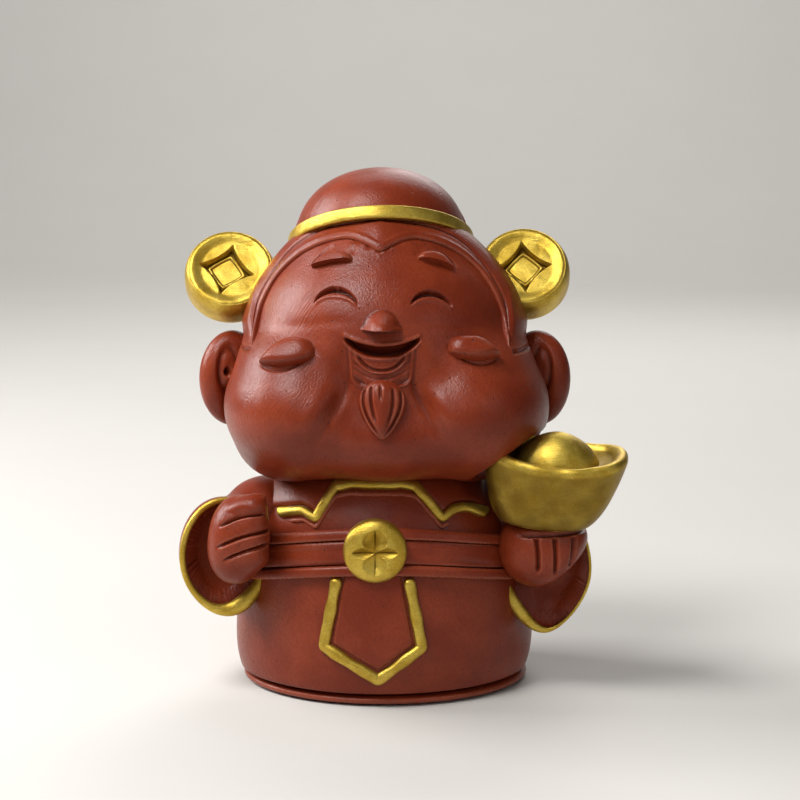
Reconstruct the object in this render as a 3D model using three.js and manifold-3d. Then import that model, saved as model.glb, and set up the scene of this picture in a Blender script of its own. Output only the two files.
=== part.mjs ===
// A god of wealth tea pet in red clay with gold paint, as the hollow shells and sprigs it is luted from.
// Millimetres. The table is z = 0, the figure faces -Y and +X is its own left side.

import * as THREE from "three";
import { mergeVertices } from "three/addons/utils/BufferGeometryUtils.js";
import Module from "manifold-3d";

const wasm = await Module();
wasm.setup();

// The gap left at every joint between two pieces of clay, where the slip that bonds them goes
const slip = 0.3;

// Robe: its width at the waist, and how much more or less it is elsewhere, with the heights
const waistWide = 50.2;
const waistRise = 21;
const bellyMore = 2.6;
const bellyRise = 8;
const hemMore = 0.8;
const shoulderLess = 7.2;
const shoulderDrop = 3;
const collarLess = 17.2;
const collarRise = 2;
const robeTopRise = 2;
const robeFlat = 0.82;
const robeWall = 3;
const neckWide = 11;

// Base plate, a little narrower than the hem, and the drain hole in it
const baseInset = 0.2;
const baseWide = waistWide + hemMore - 2 * baseInset;
const baseDeep = (waistWide + hemMore) * robeFlat - 2 * baseInset;
const baseThick = 2;
const baseEdge = 0.7;
const drainWide = 9;
const drainBack = 9;

// Head: overall place, then the skull, brow dome, jaw, chin and cheeks that flow into one form
const headHeight = 56;
const headWall = 3;
const skullWide = 47.2;
const skullDeep = 45;
const skullTall = 42;
const skullRise = 4;
const skullForward = 1.5;
const domeWide = 31.4;
const domeDeep = 35;
const domeTall = 21;
const domeDrop = 6.75;
const jawWide = 44;
const jawDeep = 40;
const jawTall = 25;
const jawDrop = 6;
const chinWide = 26;
const chinDeep = 36.2;
const chinTall = 24.4;
const chinForward = 6.2;
const chinDrop = 5;
const jowlWide = 40;
const jowlDeep = 37;
const jowlTall = 19.2;
const jowlForward = 7.4;
const jowlDrop = 9.4;
const cheekWide = 28.4;
const cheekDeep = 36;
const cheekTall = 25.2;
const cheekApart = 27.3;
const cheekShift = 0.35;
const cheekForward = 8.5;
const boneMerge = 4;
const cheekMerge = 1.7;
const jowlMerge = 2.5;

// Face
const noseWide = 7;
const noseTall = 6.4;
const noseRise = 9.9;
const noseProud = 4;
const noseSink = 5;
const mouthWide = 12.3;
const mouthTall = 3.4;
const mouthDeep = 1.3;
const mouthRise = 7.2;
const eyeWide = 7.3;
const eyeTall = 2.6;
const eyeLine = 1.2;
const eyeDeep = 1;
const eyeApart = 15.6;
const eyeRise = 13;
const browWide = 7;
const browTall = 2;
const browProud = 0.9;
const browApart = 17;
const browRise = 19.2;
const moustacheWide = 9;
const moustacheTall = 3.5;
const moustacheProud = 1.3;
const moustacheLean = 13;
const moustacheApart = 30.5;
const moustacheRise = 4.8;
const beardWide = 7.8;
const beardTall = 9.6;
const beardProud = 1.7;
const beardTop = 0.5;

// Ears and the vent that lets steam out of the head while it is fired
const earWide = 12;
const earThick = 8;
const earTall = 16.8;
const earDrop = 1.7;
const earSink = 0.6;
const earTurn = 24;
const earRim = 1.3;
const earHollow = 1.9;
const ventWide = 1.2;

// Hood over the head, with an opening for the face that ends in a point over the nose
const hoodThick = 1.2;
const openingWide = 46.6;
const openingTop = 23.2;
const openingSpring = 4;
const openingDip = 1.6;
const openingDipWide = 12;
const openingBack = 5;
const hemFront = 5.6;
const hemDrop = 1;

// Hat on the hood: a low crown, a taller tier behind it and a gold band, all leaning back
const hatLean = 21.5;
const hatWide = 31;
const hatDeep = 35;
const hatRise = 20.65;
const hatBack = 4;
const hatShift = -0.7;
const crownTall = 12.7;
const crownInset = 0.5;
const tierProud = 0.8;
const tierBack = 3;
const bandTall = 2.1;
const bandThick = 1.6;

// Gold coins that stand for the wings of the hat
const coinWide = 15.6;
const coinFace = 13.8;
const coinThick = 7.3;
const coinRim = 0.8;
const coinDish = 0.4;
const coinStar = 10.2;
const coinStarDeep = 0.8;
const coinRise = 15.6;
const coinSink = 3.3;
const coinUp = 35;
const coinIn = 4;
const coinShift = -1.35;

// Sash: a band between two cords, higher over the belly than at the back
const sashTall = 7.8;
const sashHeight = 22.8;
const sashRise = 4.1;
const sashThick = 1.1;
const cordTall = 1.8;
const cordThick = 1.7;

// Buckle, apron and collar trim, all a little to the figure's right of centre
const frontShift = -1.9;
const buckleShift = 0.4;
const buckleWide = 10.6;
const buckleThick = 2.4;
const buckleRise = 0.3;
const buckleStar = 7;
const buckleStarDeep = 0.9;
const apronTopWide = 13.8;
const apronWide = 18.4;
const apronCorner = 10.2;
const apronTip = 4;
const apronTipShift = 0.9;
const apronProud = 0.8;
const stripWide = 1.7;
const stripProud = 1.3;
const collarShift = 1;
const collarStrip = 1.2;
const collarFlat = 12.8;
const collarNotch = 21.2;
const collarHump = 27.4;
const collarEnd = 36.4;
const collarTopDrop = 0;
const collarNotchDrop = 5.6;
const collarHumpDrop = 4.3;
const collarEndDrop = 5.8;
const collarProud = 0.6;

// Sleeves: a bell whose mouth faces forward, and the shoulder that it grows from
const bellWide = 15.4;
const bellDeep = 23;
const bellTall = 20;
const bellRim = 1;
const bellHollow = 4;
const armWide = 15;
const armDeep = 16.6;
const armTall = 12.6;
const armIn = 2;
const armForward = 2.6;
const armDrop = 6.2;
const cuffWide = 1.5;

// Where each sleeve's mouth is: out from the robe's side, behind and below its hand, and its turn
const rightMouthOut = 3.1;
const rightMouthBack = 4.9;
const rightMouthDrop = 4.1;
const rightMouthTurn = 16;
const rightPinch = 0.1;
const leftMouthOut = 2.4;
const leftMouthBack = 1.8;
const leftMouthDrop = 3.9;
const leftMouthTurn = -8;
const leftMouthMore = 2.4;
const leftPinch = 0.5;

// Hands
const fistWide = 10.2;
const fistDeep = 10.6;
const fistTall = 15;
const fistHeight = 28.6;
const fistBack = 2.4;
const fingerCount = 4;
const fingerThick = 3.7;
const fingerLong = 8.2;
const fingerLean = 13;
const palmWide = 15.9;
const palmDeep = 14.4;
const palmTall = 13.9;
const palmHeight = 25.8;
const palmOut = 2.4;
const palmBack = 7.8;
const fingerMerge = 0.5;

// Ingot on the palm
const ingotLong = 24.8;
const ingotDeep = 15.6;
const ingotTall = 12.3;
const ingotFoot = 12.4;
const ingotLip = 1.4;
const ingotHollow = 1.7;
const ingotEndRise = 1;
const ingotFootShift = -1.2;
const ingotTilt = 9;
const ingotRoll = 3;
const ingotLift = 4.5;
const ingotOut = 0.9;
const ingotAhead = 2.4;
const ingotDomeWide = 12.4;
const ingotDomeDeep = 9.6;
const ingotDomeTall = 6.2;
const ingotDomeShift = 2;

// How finely the round forms are cut
const around = 32;
const upward = 20;
const handAround = 22;
const handUpward = 14;
const smallAround = 16;
const smallUpward = 8;
const ringSteps = 36;
const coinSteps = 20;

// Paints and clays
function finish(color, roughness, metalness) {
  return new THREE.MeshStandardMaterial({ color, roughness, metalness });
}
const redClay = () => finish(0x8c4433, 0.5, 0);
const goldPaint = () => finish(0xcfae3c, 0.4, 0.7);

// Solids: a closed geometry becomes one that can be joined and cut, and back again
function toSolid(geometry) {
  const bare = geometry.clone();
  bare.deleteAttribute("normal");
  bare.deleteAttribute("uv");
  const merged = mergeVertices(bare, 1e-4);
  const corners = merged.index.array;
  const kept = [];
  for (let i = 0; i < corners.length; i += 3) {
    const [a, b, c] = [corners[i], corners[i + 1], corners[i + 2]];
    if (a !== b && b !== c && c !== a) kept.push(a, b, c);
  }
  return new wasm.Manifold(new wasm.Mesh({
    numProp: 3,
    vertProperties: new Float32Array(merged.attributes.position.array),
    triVerts: new Uint32Array(kept),
  }));
}

function toGeometry(solid) {
  const mesh = solid.getMesh();
  const geometry = new THREE.BufferGeometry();
  geometry.setAttribute("position", new THREE.BufferAttribute(mesh.vertProperties.slice(), 3));
  geometry.setIndex(new THREE.BufferAttribute(mesh.triVerts.slice(), 1));
  geometry.computeVertexNormals();
  return geometry;
}

// A cut can leave a crumb of clay beside the piece: the piece is the largest body
function largest(solid) {
  const bodies = solid.decompose();
  bodies.sort((a, b) => b.volume() - a.volume());
  return bodies[0];
}

function cutBy(solid, ...tools) {
  return tools.reduce((rest, tool) => rest.subtract(tool), solid);
}

// A form that can be asked for at any growth over its own surface, made once for each
function growable(make) {
  const made = new Map();
  return (grow = 0) => {
    if (!made.has(grow)) made.set(grow, make(grow));
    return made.get(grow);
  };
}

// Rounded forms: the signed distance to an egg, and to two forms that flow into each other
function egg(centre, wide, deep, tall, turn = new THREE.Euler()) {
  const half = new THREE.Vector3(wide / 2, deep / 2, tall / 2);
  const back = new THREE.Quaternion().setFromEuler(turn).invert();
  const q = new THREE.Vector3();
  return (p) => {
    q.copy(p).sub(centre).applyQuaternion(back).divide(half);
    const near = q.length();
    const slope = q.divide(half).length();
    return slope < 1e-9 ? -Math.min(half.x, half.y, half.z) : near * (near - 1) / slope;
  };
}

function merge(first, second, soft) {
  return (p) => {
    const a = first(p);
    const b = second(p);
    const h = THREE.MathUtils.clamp(0.5 + 0.5 * (b - a) / soft, 0, 1);
    return b * (1 - h) + a * h - soft * h * (1 - h);
  };
}

// How far a form reaches from a point inside it, by halving the span that holds its surface
function reach(form, from, direction, grow = 0) {
  let low = 0;
  let high = 60;
  const p = new THREE.Vector3();
  for (let i = 0; i < 26; i++) {
    const middle = (low + high) / 2;
    p.copy(direction).multiplyScalar(middle).add(from);
    if (form(p) < grow) low = middle;
    else high = middle;
  }
  return (low + high) / 2;
}

// A ball whose every point moves out from the heart to the form's surface
function castBall(form, heart, grow, steps, rows) {
  const ball = new THREE.SphereGeometry(1, steps, rows).rotateX(Math.PI / 2);
  const place = ball.attributes.position;
  const direction = new THREE.Vector3();
  for (let i = 0; i < place.count; i++) {
    direction.fromBufferAttribute(place, i).normalize();
    const far = reach(form, heart, direction, grow);
    place.setXYZ(i, ...direction.multiplyScalar(far).add(heart));
  }
  return toSolid(ball);
}

// A closed ring: its section is walked by one angle and its way round by the other
function ringSolid(place, sectionSteps) {
  const ring = new THREE.TorusGeometry(1, 0.1, sectionSteps, ringSteps);
  const spot = ring.attributes.position;
  const walk = ring.attributes.uv;
  for (let i = 0; i < spot.count; i++) {
    const p = place((walk.getX(i) % 1) * 2 * Math.PI, (walk.getY(i) % 1) * 2 * Math.PI);
    spot.setXYZ(i, p.x, p.y, p.z);
  }
  return toSolid(ring);
}

// The corner of a four-sided section at one of its angles: out and up are each 1 or -1
function corner(section) {
  const turn = section + Math.PI / 4;
  return { out: Math.SQRT2 * Math.cos(turn), up: Math.SQRT2 * Math.sin(turn) };
}

function latheSolid(points, steps) {
  const profile = points.map(([r, z]) => new THREE.Vector2(r, z));
  return new THREE.LatheGeometry(profile, steps).rotateX(Math.PI / 2);
}

// A flat outline in x and z, pushed through the figure from y = back to y = front
function prism(outline, front, back) {
  const block = new THREE.ExtrudeGeometry(outline, {
    depth: back - front,
    bevelEnabled: false,
    curveSegments: 6,
  });
  return toSolid(block.rotateX(Math.PI / 2).translate(0, back, 0));
}

const farFront = -45;

function polygon(points) {
  return new THREE.Shape(points.map(([x, z]) => new THREE.Vector2(x, z)));
}

// Two arcs between a left and a right tip: bend is how far each bows up at its middle
function lens(centre, wide, lowBend, highBend, lean = 0) {
  const outline = [];
  const steps = 10;
  for (let i = 0; i <= steps; i++) {
    const t = i / steps;
    outline.push([(t - 0.5) * wide, highBend * Math.sin(Math.PI * t)]);
  }
  for (let i = steps - 1; i > 0; i--) {
    const t = i / steps;
    outline.push([(t - 0.5) * wide, lowBend * Math.sin(Math.PI * t)]);
  }
  const turn = new THREE.Vector2();
  return polygon(outline.reverse().map(([x, z]) => {
    turn.set(x, z).rotateAround(new THREE.Vector2(), lean);
    return [turn.x + centre.x, turn.y + centre.z];
  }));
}

// A line moved sideways by a distance, with its corners kept sharp
function beside(line, distance) {
  const points = line.map(([x, z]) => new THREE.Vector2(x, z));
  const sideways = (a, b) => {
    const along = b.clone().sub(a).normalize();
    return new THREE.Vector2(-along.y, along.x);
  };
  return points.map((p, i) => {
    const before = sideways(points[Math.max(i - 1, 0)], points[Math.max(i, 1)]);
    const last = points.length - 1;
    const after = sideways(points[Math.min(i, last - 1)], points[Math.min(i + 1, last)]);
    const corner = before.clone().add(after).divideScalar(1 + before.dot(after));
    return [p.x + corner.x * distance, p.y + corner.y * distance];
  });
}

function strip(line, wide) {
  return polygon([...line, ...beside(line, wide).reverse()]);
}

// A layer of clay on a form, inside an outline seen from the front
function relief(outline, form, proud) {
  return prism(outline, farFront, 0).intersect(form(slip + proud)).subtract(form(slip));
}

// A mark pressed into a form, inside an outline seen from the front
function pressed(outline, form, deep) {
  return prism(outline, farFront, 0).subtract(form(-deep));
}

// A star with four hollow sides, standing up from z = 0 in its own frame
function star(wide, deep) {
  const outline = new THREE.Shape();
  const far = wide / 2;
  const near = far * 0.36;
  outline.moveTo(far, 0);
  for (let k = 0; k < 4; k++) {
    const bend = (k + 0.5) * Math.PI / 2;
    const tip = (k + 1) * Math.PI / 2;
    outline.quadraticCurveTo(
      near * Math.cos(bend), near * Math.sin(bend),
      far * Math.cos(tip), far * Math.sin(tip),
    );
  }
  return new THREE.ExtrudeGeometry(outline, { depth: deep, bevelEnabled: false, curveSegments: 4 });
}

// The figure as a tree of groups, and a piece added to a group about its own centre
const figure = new THREE.Group();
const bodyGroup = new THREE.Group();
const headGroup = new THREE.Group();
headGroup.position.set(0, 0, headHeight);
figure.add(bodyGroup, headGroup);

function addPiece(group, name, solid, paint) {
  const geometry = toGeometry(solid);
  geometry.computeBoundingBox();
  const centre = geometry.boundingBox.getCenter(new THREE.Vector3());
  geometry.translate(-centre.x, -centre.y, -centre.z);
  const mesh = new THREE.Mesh(geometry, paint());
  mesh.name = name;
  mesh.position.copy(centre).sub(group.position);
  group.add(mesh);
}

// Head form
const heart = new THREE.Vector3(0, 0, headHeight);
const lean = THREE.MathUtils.degToRad(hatLean);
const hatFrame = new THREE.Matrix4().makeRotationX(-lean);
hatFrame.setPosition(hatShift, hatBack, headHeight + hatRise);
const domeCentre = new THREE.Vector3(0, 0, -domeDrop).applyMatrix4(hatFrame);
const leanTurn = new THREE.Euler(-lean, 0, 0);

function headForm() {
  const at = (x, forward, rise) => new THREE.Vector3(x, -forward, headHeight + rise);
  const skull = egg(at(0, skullForward, skullRise), skullWide, skullDeep, skullTall);
  const dome = egg(domeCentre, domeWide, domeDeep, domeTall, leanTurn);
  const jaw = egg(at(0, 1, -jawDrop), jawWide, jawDeep, jawTall);
  const chin = egg(at(0, chinForward, -chinDrop), chinWide, chinDeep, chinTall);
  const jowl = egg(at(0, jowlForward, -jowlDrop), jowlWide, jowlDeep, jowlTall);
  let form = merge(skull, dome, boneMerge);
  form = merge(form, jaw, boneMerge);
  form = merge(form, chin, boneMerge);
  for (const side of [-1, 1]) {
    const place = at(side * cheekApart / 2 + cheekShift, cheekForward, -jawDrop);
    form = merge(form, egg(place, cheekWide, cheekDeep, cheekTall), cheekMerge);
  }
  return merge(form, jowl, jowlMerge);
}
const headSurface = headForm();
const head = growable((grow) => castBall(headSurface, heart, grow, around, upward));
const hoodGrow = slip + hoodThick;
const down = new THREE.Vector3(0, 0, -1);
const chinHeight = headHeight - reach(headSurface, heart, down);

// The y of the head's face at a place seen from the front
function faceAt(x, rise) {
  const from = new THREE.Vector3(x, 0, headHeight + rise);
  return -reach(headSurface, from, new THREE.Vector3(0, -1, 0));
}

// Robe form: half its width at any height, and the solid turned from that and flattened
const robeFoot = baseThick + slip;
const robeHeights = [
  robeFoot,
  baseThick + bellyRise,
  baseThick + waistRise,
  chinHeight - shoulderDrop,
  chinHeight + collarRise,
];
const robeMores = [hemMore, bellyMore, 0, -shoulderLess, -collarLess];
const robeHalves = robeMores.map((more) => (waistWide + more) / 2);
const robeCurve = new THREE.CubicInterpolant(robeHeights, robeHalves, 1);

function robeHalf(z) {
  const top = robeHeights[robeHeights.length - 1];
  return robeCurve.evaluate(THREE.MathUtils.clamp(z, robeFoot, top))[0];
}

function robeProfile(low, high, grow, rows) {
  const profile = [[0, low]];
  for (let i = 0; i <= rows; i++) {
    const z = THREE.MathUtils.lerp(low, high, i / rows);
    profile.push([robeHalf(z) + grow, z]);
  }
  profile.push([0, high + robeTopRise]);
  return profile;
}

const robeTop = robeHeights[robeHeights.length - 1];
const robe = growable((grow) => {
  const turned = latheSolid(robeProfile(robeFoot, robeTop, grow, 12), ringSteps);
  return toSolid(turned.scale(1, robeFlat, 1));
});

// The y of the robe's front, outside any growth, at a place seen from the front
function frontAt(x, z, grow = 0) {
  const half = robeHalf(z) + grow;
  return -robeFlat * Math.sqrt(Math.max(half * half - x * x, 0));
}

// Sash rings: the height rises with the square of how far forward they are
function sashRing(tall, thick, lift, grow) {
  return ringSolid((turn, section) => {
    const forward = Math.max(-Math.sin(turn), 0);
    const { out: outward, up } = corner(section);
    const z = sashHeight + sashRise * forward ** 2 + lift + (tall / 2 + grow) * up;
    const out = slip + thick / 2 + (thick / 2 + grow) * outward;
    const half = robeHalf(z) + out;
    return new THREE.Vector3(half * Math.cos(turn), robeFlat * half * Math.sin(turn), z);
  }, 4);
}
const sashInner = sashTall - 2 * (cordTall + slip);
const cordLift = (sashTall - cordTall) / 2;
const sash = growable((grow) => sashRing(sashInner, sashThick, 0, grow));
const sashAll = growable((grow) => {
  const upper = sashRing(cordTall, cordThick, cordLift, grow);
  const lower = sashRing(cordTall, cordThick, -cordLift, grow);
  return sash(grow).add(upper).add(lower);
});

// Base plate
function basePlate() {
  const half = baseWide / 2;
  const plate = latheSolid([
    [0, 0],
    [half - baseEdge, 0],
    [half, baseEdge],
    [half, baseThick - baseEdge],
    [half - baseEdge, baseThick],
    [0, baseThick],
  ], ringSteps).scale(1, baseDeep / baseWide, 1);
  const drill = new THREE.CylinderGeometry(drainWide / 2, drainWide / 2, 4 * baseThick, 24);
  drill.rotateX(Math.PI / 2).translate(0, drainBack, 0);
  return toSolid(plate).subtract(toSolid(drill));
}

// Robe shell: open below, with a neck hole through its top, which dishes under the head
const neckDrill = new THREE.CylinderGeometry(neckWide / 2, neckWide / 2, 6 * headWall, 24);
neckDrill.rotateX(Math.PI / 2).translate(0, 0, chinHeight);
const neckHole = toSolid(neckDrill);

function robeShell() {
  const ceiling = chinHeight - slip - robeWall;
  const inside = robeProfile(0, ceiling - robeWall, -robeWall, 6);
  inside[inside.length - 1] = [0, ceiling];
  inside.splice(inside.length - 1, 0, [(waistWide - collarLess) / 2 - robeWall, ceiling]);
  const hollow = latheSolid(inside, 24).scale(1, robeFlat, 1);
  return cutBy(robe(), head(slip), toSolid(hollow), neckHole);
}

// Head shell, with eyes and mouth pressed into the face
function mouthOutline(wide, tall) {
  const centre = { x: 0, z: headHeight + mouthRise + mouthTall / 4 };
  return lens(centre, wide, -tall, -tall * 0.25);
}

function eyeOutline(side) {
  const centre = { x: side * eyeApart / 2, z: headHeight + eyeRise };
  return lens(centre, eyeWide, eyeTall - eyeLine, eyeTall, side * -0.08);
}

function ventDrill(side) {
  const mouth = new THREE.Vector3(side * (headSide(-earDrop) + earSink), 0, headHeight - earDrop);
  const drill = new THREE.CylinderGeometry(ventWide / 2, ventWide / 2, 6 * headWall, 12);
  return toSolid(drill.rotateZ(Math.PI / 2).translate(mouth.x, mouth.y, mouth.z));
}

function headSide(rise) {
  const from = new THREE.Vector3(0, 0, headHeight + rise);
  return reach(headSurface, from, new THREE.Vector3(1, 0, 0));
}

function headShell() {
  const hollow = castBall(headSurface, heart, -headWall, 20, 12);
  const marks = [pressed(mouthOutline(mouthWide, mouthTall), head, mouthDeep)];
  for (const side of [-1, 1]) marks.push(pressed(eyeOutline(side), head, eyeDeep));
  return cutBy(head(), hollow, neckHole, ventDrill(-1), ...marks);
}

// Sprigs on the face
function nose() {
  const forward = faceAt(0, noseRise) + (noseSink - noseProud) / 2;
  const at = new THREE.Vector3(0, forward, headHeight + noseRise);
  const ball = castBall(egg(at, noseWide, noseSink + noseProud, noseTall), at, 0, smallAround, smallUpward);
  const floor = new THREE.BoxGeometry(2 * noseWide, 4 * noseSink, noseTall);
  floor.translate(at.x, at.y, at.z - noseTall * 0.7);
  return largest(cutBy(ball, head(slip), toSolid(floor)));
}

function brow(side) {
  const centre = { x: side * browApart / 2, z: headHeight + browRise };
  const outline = lens(centre, browWide, -browTall / 2, browTall / 2, side * -0.2);
  return relief(outline, head, browProud);
}

function moustache(side) {
  const centre = { x: side * moustacheApart / 2, z: headHeight + moustacheRise };
  const lean = THREE.MathUtils.degToRad(-moustacheLean);
  const outline = lens(centre, moustacheWide, -moustacheTall / 2, moustacheTall / 2, side * lean);
  return relief(outline, head, moustacheProud);
}

function beard() {
  const outline = new THREE.Shape();
  const top = headHeight + beardTop;
  const half = beardWide / 2;
  outline.moveTo(0, top);
  outline.quadraticCurveTo(half * 1.1, top - beardTall * 0.1, half, top - beardTall * 0.38);
  outline.quadraticCurveTo(half * 0.7, top - beardTall * 0.75, 0, top - beardTall);
  outline.quadraticCurveTo(-half * 0.7, top - beardTall * 0.75, -half, top - beardTall * 0.38);
  outline.quadraticCurveTo(-half * 1.1, top - beardTall * 0.1, 0, top);
  return relief(outline, head, beardProud);
}

// Ears
function ear(side) {
  const turn = new THREE.Euler(0, 0, side * THREE.MathUtils.degToRad(-earTurn));
  const out = side * (headSide(-earDrop) - earSink + earWide / 8);
  const at = new THREE.Vector3(out, 0, headHeight - earDrop);
  const lobe = castBall(egg(at, earWide, earThick, earTall, turn), at, 0, smallAround, smallUpward);
  const bowl = new THREE.Vector3(side * earRim / 2, -earThick / 2, 0).add(at);
  const bowlWide = earWide - 2 * earRim;
  const hollow = egg(bowl, bowlWide, 2 * earHollow, earTall - 3 * earRim, turn);
  return largest(cutBy(
    lobe,
    castBall(hollow, bowl, 0, smallAround, smallUpward),
    head(slip),
    hood(slip),
    ventDrill(side),
  ));
}

// Hood: a skin on the head, cut away in front of the face and below the ears' tops
function faceOpening() {
  const half = openingWide / 2;
  const outline = [[half, -headHeight]];
  const steps = 24;
  for (let i = 0; i <= steps; i++) {
    const turn = Math.PI * i / steps;
    const x = half * Math.cos(turn);
    const arch = openingSpring + (openingTop - openingSpring) * Math.sin(turn) ** 0.8;
    const dip = Math.max(1 - 2 * Math.abs(x) / openingDipWide, 0) ** 2 * openingDip;
    outline.push([x, arch - dip]);
  }
  outline.push([-half, -headHeight]);
  return polygon(outline.map(([x, rise]) => [x, headHeight + rise]));
}

function hoodHem() {
  const far = headHeight;
  const outline = polygon([
    [-far, openingSpring],
    [0, hemFront],
    [earThick, openingSpring - hemDrop],
    [earThick * 2, -earTall / 2],
    [far, -earTall * 0.75],
    [far, -far],
    [-far, -far],
  ].map(([y, rise]) => [y, headHeight + rise]));
  const block = new THREE.ExtrudeGeometry(outline, { depth: 2 * far, bevelEnabled: false });
  block.translate(0, 0, -far);
  const swap = new THREE.Matrix4().makeBasis(
    new THREE.Vector3(0, 1, 0),
    new THREE.Vector3(0, 0, 1),
    new THREE.Vector3(1, 0, 0),
  );
  return toSolid(block.applyMatrix4(swap));
}
const hood = growable((grow) => {
  const skin = head(hoodGrow + grow).subtract(grow > 0 ? head(0) : head(slip));
  return cutBy(skin, prism(faceOpening(), farFront, -openingBack), hoodHem());
});

// Hat: forms in the hat's own frame, whose floor is the plane of the gold band
function hatEgg(wide, deep, tall) {
  const ball = new THREE.SphereGeometry(1, around, handUpward).rotateX(Math.PI / 2);
  return toSolid(ball.scale(wide / 2, deep / 2, tall).applyMatrix4(hatFrame));
}

function hatBlock(fromY, fromZ, wide, deep, tall) {
  const block = new THREE.BoxGeometry(wide, deep, tall);
  block.translate(0, fromY + deep / 2, fromZ - tall / 2);
  return toSolid(block.applyMatrix4(hatFrame));
}
const hatFloor = hatBlock(-hatDeep, bandTall / 2 + slip, 2 * hatWide, 2 * hatDeep, hatDeep);
const hatFront = hatBlock(tierBack - 2 * hatDeep, hatDeep, 2 * hatWide, 2 * hatDeep, 2 * hatDeep);
const hatSeat = head(hoodGrow + slip);

function crownEgg(grow) {
  const less = 2 * crownInset - 2 * grow;
  return hatEgg(hatWide - less, hatDeep - less, crownTall + grow);
}

function hatBand() {
  const band = ringSolid((turn, section) => {
    const { out, up } = corner(section);
    const across = (hatWide / 2 + out * bandThick / 2) * Math.cos(turn);
    const along = (hatDeep / 2 + out * bandThick / 2) * Math.sin(turn);
    return new THREE.Vector3(across, along, up * bandTall / 2).applyMatrix4(hatFrame);
  }, 4);
  return largest(band.subtract(hatSeat));
}

function hatCrown() {
  return largest(cutBy(crownEgg(0), hatFloor, hatSeat));
}

function hatTier() {
  return largest(cutBy(crownEgg(slip + tierProud), crownEgg(slip), hatFloor, hatFront, hatSeat));
}

// Coins, each turned so that its face looks forward, up and inward
function coin(side) {
  const half = coinWide / 2;
  const face = coinFace / 2;
  const disc = latheSolid([
    [0, -coinThick / 2],
    [half * 0.7, -coinThick / 2],
    [half * 0.97, -coinThick / 6],
    [half, coinThick / 12],
    [face + coinRim / 4, coinThick * 0.4],
    [face, coinThick / 2],
    [face - coinRim, coinThick / 2],
    [face - coinRim - coinDish / 2, coinThick / 2 - coinDish],
    [0, coinThick / 2 - coinDish],
  ], coinSteps);
  const stamp = star(coinStar, coinThick);
  stamp.translate(0, 0, coinThick / 2 - coinDish - coinStarDeep);
  const up = THREE.MathUtils.degToRad(coinUp);
  const inward = THREE.MathUtils.degToRad(coinIn);
  const looks = new THREE.Vector3(-side * Math.sin(inward), -Math.cos(inward), Math.tan(up));
  const stand = new THREE.Quaternion().setFromUnitVectors(
    new THREE.Vector3(0, 0, 1),
    looks.normalize(),
  );
  const out = headSide(coinRise) + hoodGrow - coinSink + half;
  const at = new THREE.Matrix4().makeRotationFromQuaternion(stand);
  at.setPosition(side * out + coinShift, coinThick / 2 * Math.cos(up), headHeight + coinRise);
  const minted = toSolid(disc.applyMatrix4(at)).subtract(toSolid(stamp.applyMatrix4(at)));
  return largest(cutBy(minted, hatSeat));
}

// Buckle: a domed disc on the sash with a star pressed into it
const buckleAt = { x: frontShift + buckleShift, z: sashHeight + sashRise + buckleRise };

function buckleHole() {
  const outline = new THREE.Shape();
  outline.absarc(buckleAt.x, buckleAt.z, buckleWide / 2 + slip, 0, 2 * Math.PI);
  return prism(outline, farFront, 0);
}

function buckle() {
  const half = buckleWide / 2;
  const dome = latheSolid([
    [0, -buckleThick],
    [half, -buckleThick],
    [half, 0],
    [half * 0.85, buckleThick * 0.35],
    [half * 0.5, buckleThick * 0.6],
    [0, buckleThick * 0.7],
  ], coinSteps);
  const stamp = star(buckleStar, buckleThick);
  stamp.translate(0, 0, buckleThick * 0.7 - buckleStarDeep);
  const stand = new THREE.Matrix4().makeRotationX(Math.PI / 2);
  const front = frontAt(buckleAt.x, buckleAt.z, slip + sashThick) - buckleThick / 2;
  stand.setPosition(buckleAt.x, front, buckleAt.z);
  const struck = toSolid(dome.applyMatrix4(stand)).subtract(toSolid(stamp.applyMatrix4(stand)));
  return largest(cutBy(struck, sashAll(slip), robe(slip)));
}

// Apron: a panel edged by a gold strip that hangs from under the sash to a point
function apronLine() {
  const top = sashHeight + sashRise;
  return [
    [frontShift - apronTopWide / 2, top],
    [frontShift - apronWide / 2, apronCorner],
    [frontShift + apronTipShift, apronTip],
    [frontShift + apronWide / 2, apronCorner],
    [frontShift + apronTopWide / 2, top],
  ];
}

function apronStrip() {
  return largest(cutBy(relief(strip(apronLine(), stripWide), robe, stripProud), sashAll(slip)));
}

function apronPanel() {
  const outline = polygon(beside(apronLine(), stripWide + slip));
  return largest(cutBy(relief(outline, robe, apronProud), sashAll(slip), buckleHole()));
}

// Collar under the chin: a gold line with a flat top, two notches and two humps, and its panels
const collarMiddle = frontShift + collarShift;

function collarLine() {
  const drops = [
    [collarEnd, collarEndDrop],
    [collarHump, collarHumpDrop],
    [collarNotch, collarNotchDrop],
    [collarFlat, collarTopDrop],
  ];
  const left = drops.map(([wide, drop]) => [collarMiddle - wide / 2, chinHeight - drop]);
  const right = drops.map(([wide, drop]) => [collarMiddle + wide / 2, chinHeight - drop]);
  return [...left, ...right.reverse()];
}

function collarTrim() {
  const line = relief(strip(collarLine(), collarStrip), robe, stripProud);
  const arms = [sleeveBlock(rightSleeve, slip), sleeveBlock(leftSleeve, slip)];
  return largest(cutBy(line, head(slip), ...arms));
}

// The chin rests on the flat top of the collar, so its panel is in two, one on each side
function collarPanel(side) {
  const whole = beside(collarLine(), collarStrip + slip);
  const edge = whole.filter(([x]) => side * (x - collarMiddle) > 0);
  const ceiling = robeTop + headHeight / 2;
  const outline = [...edge, [edge[edge.length - 1][0], ceiling], [edge[0][0], ceiling]];
  const panel = relief(polygon(outline), robe, collarProud);
  const arms = [sleeveBlock(rightSleeve, slip), sleeveBlock(leftSleeve, slip)];
  return largest(cutBy(panel, head(slip), ...arms));
}

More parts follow.
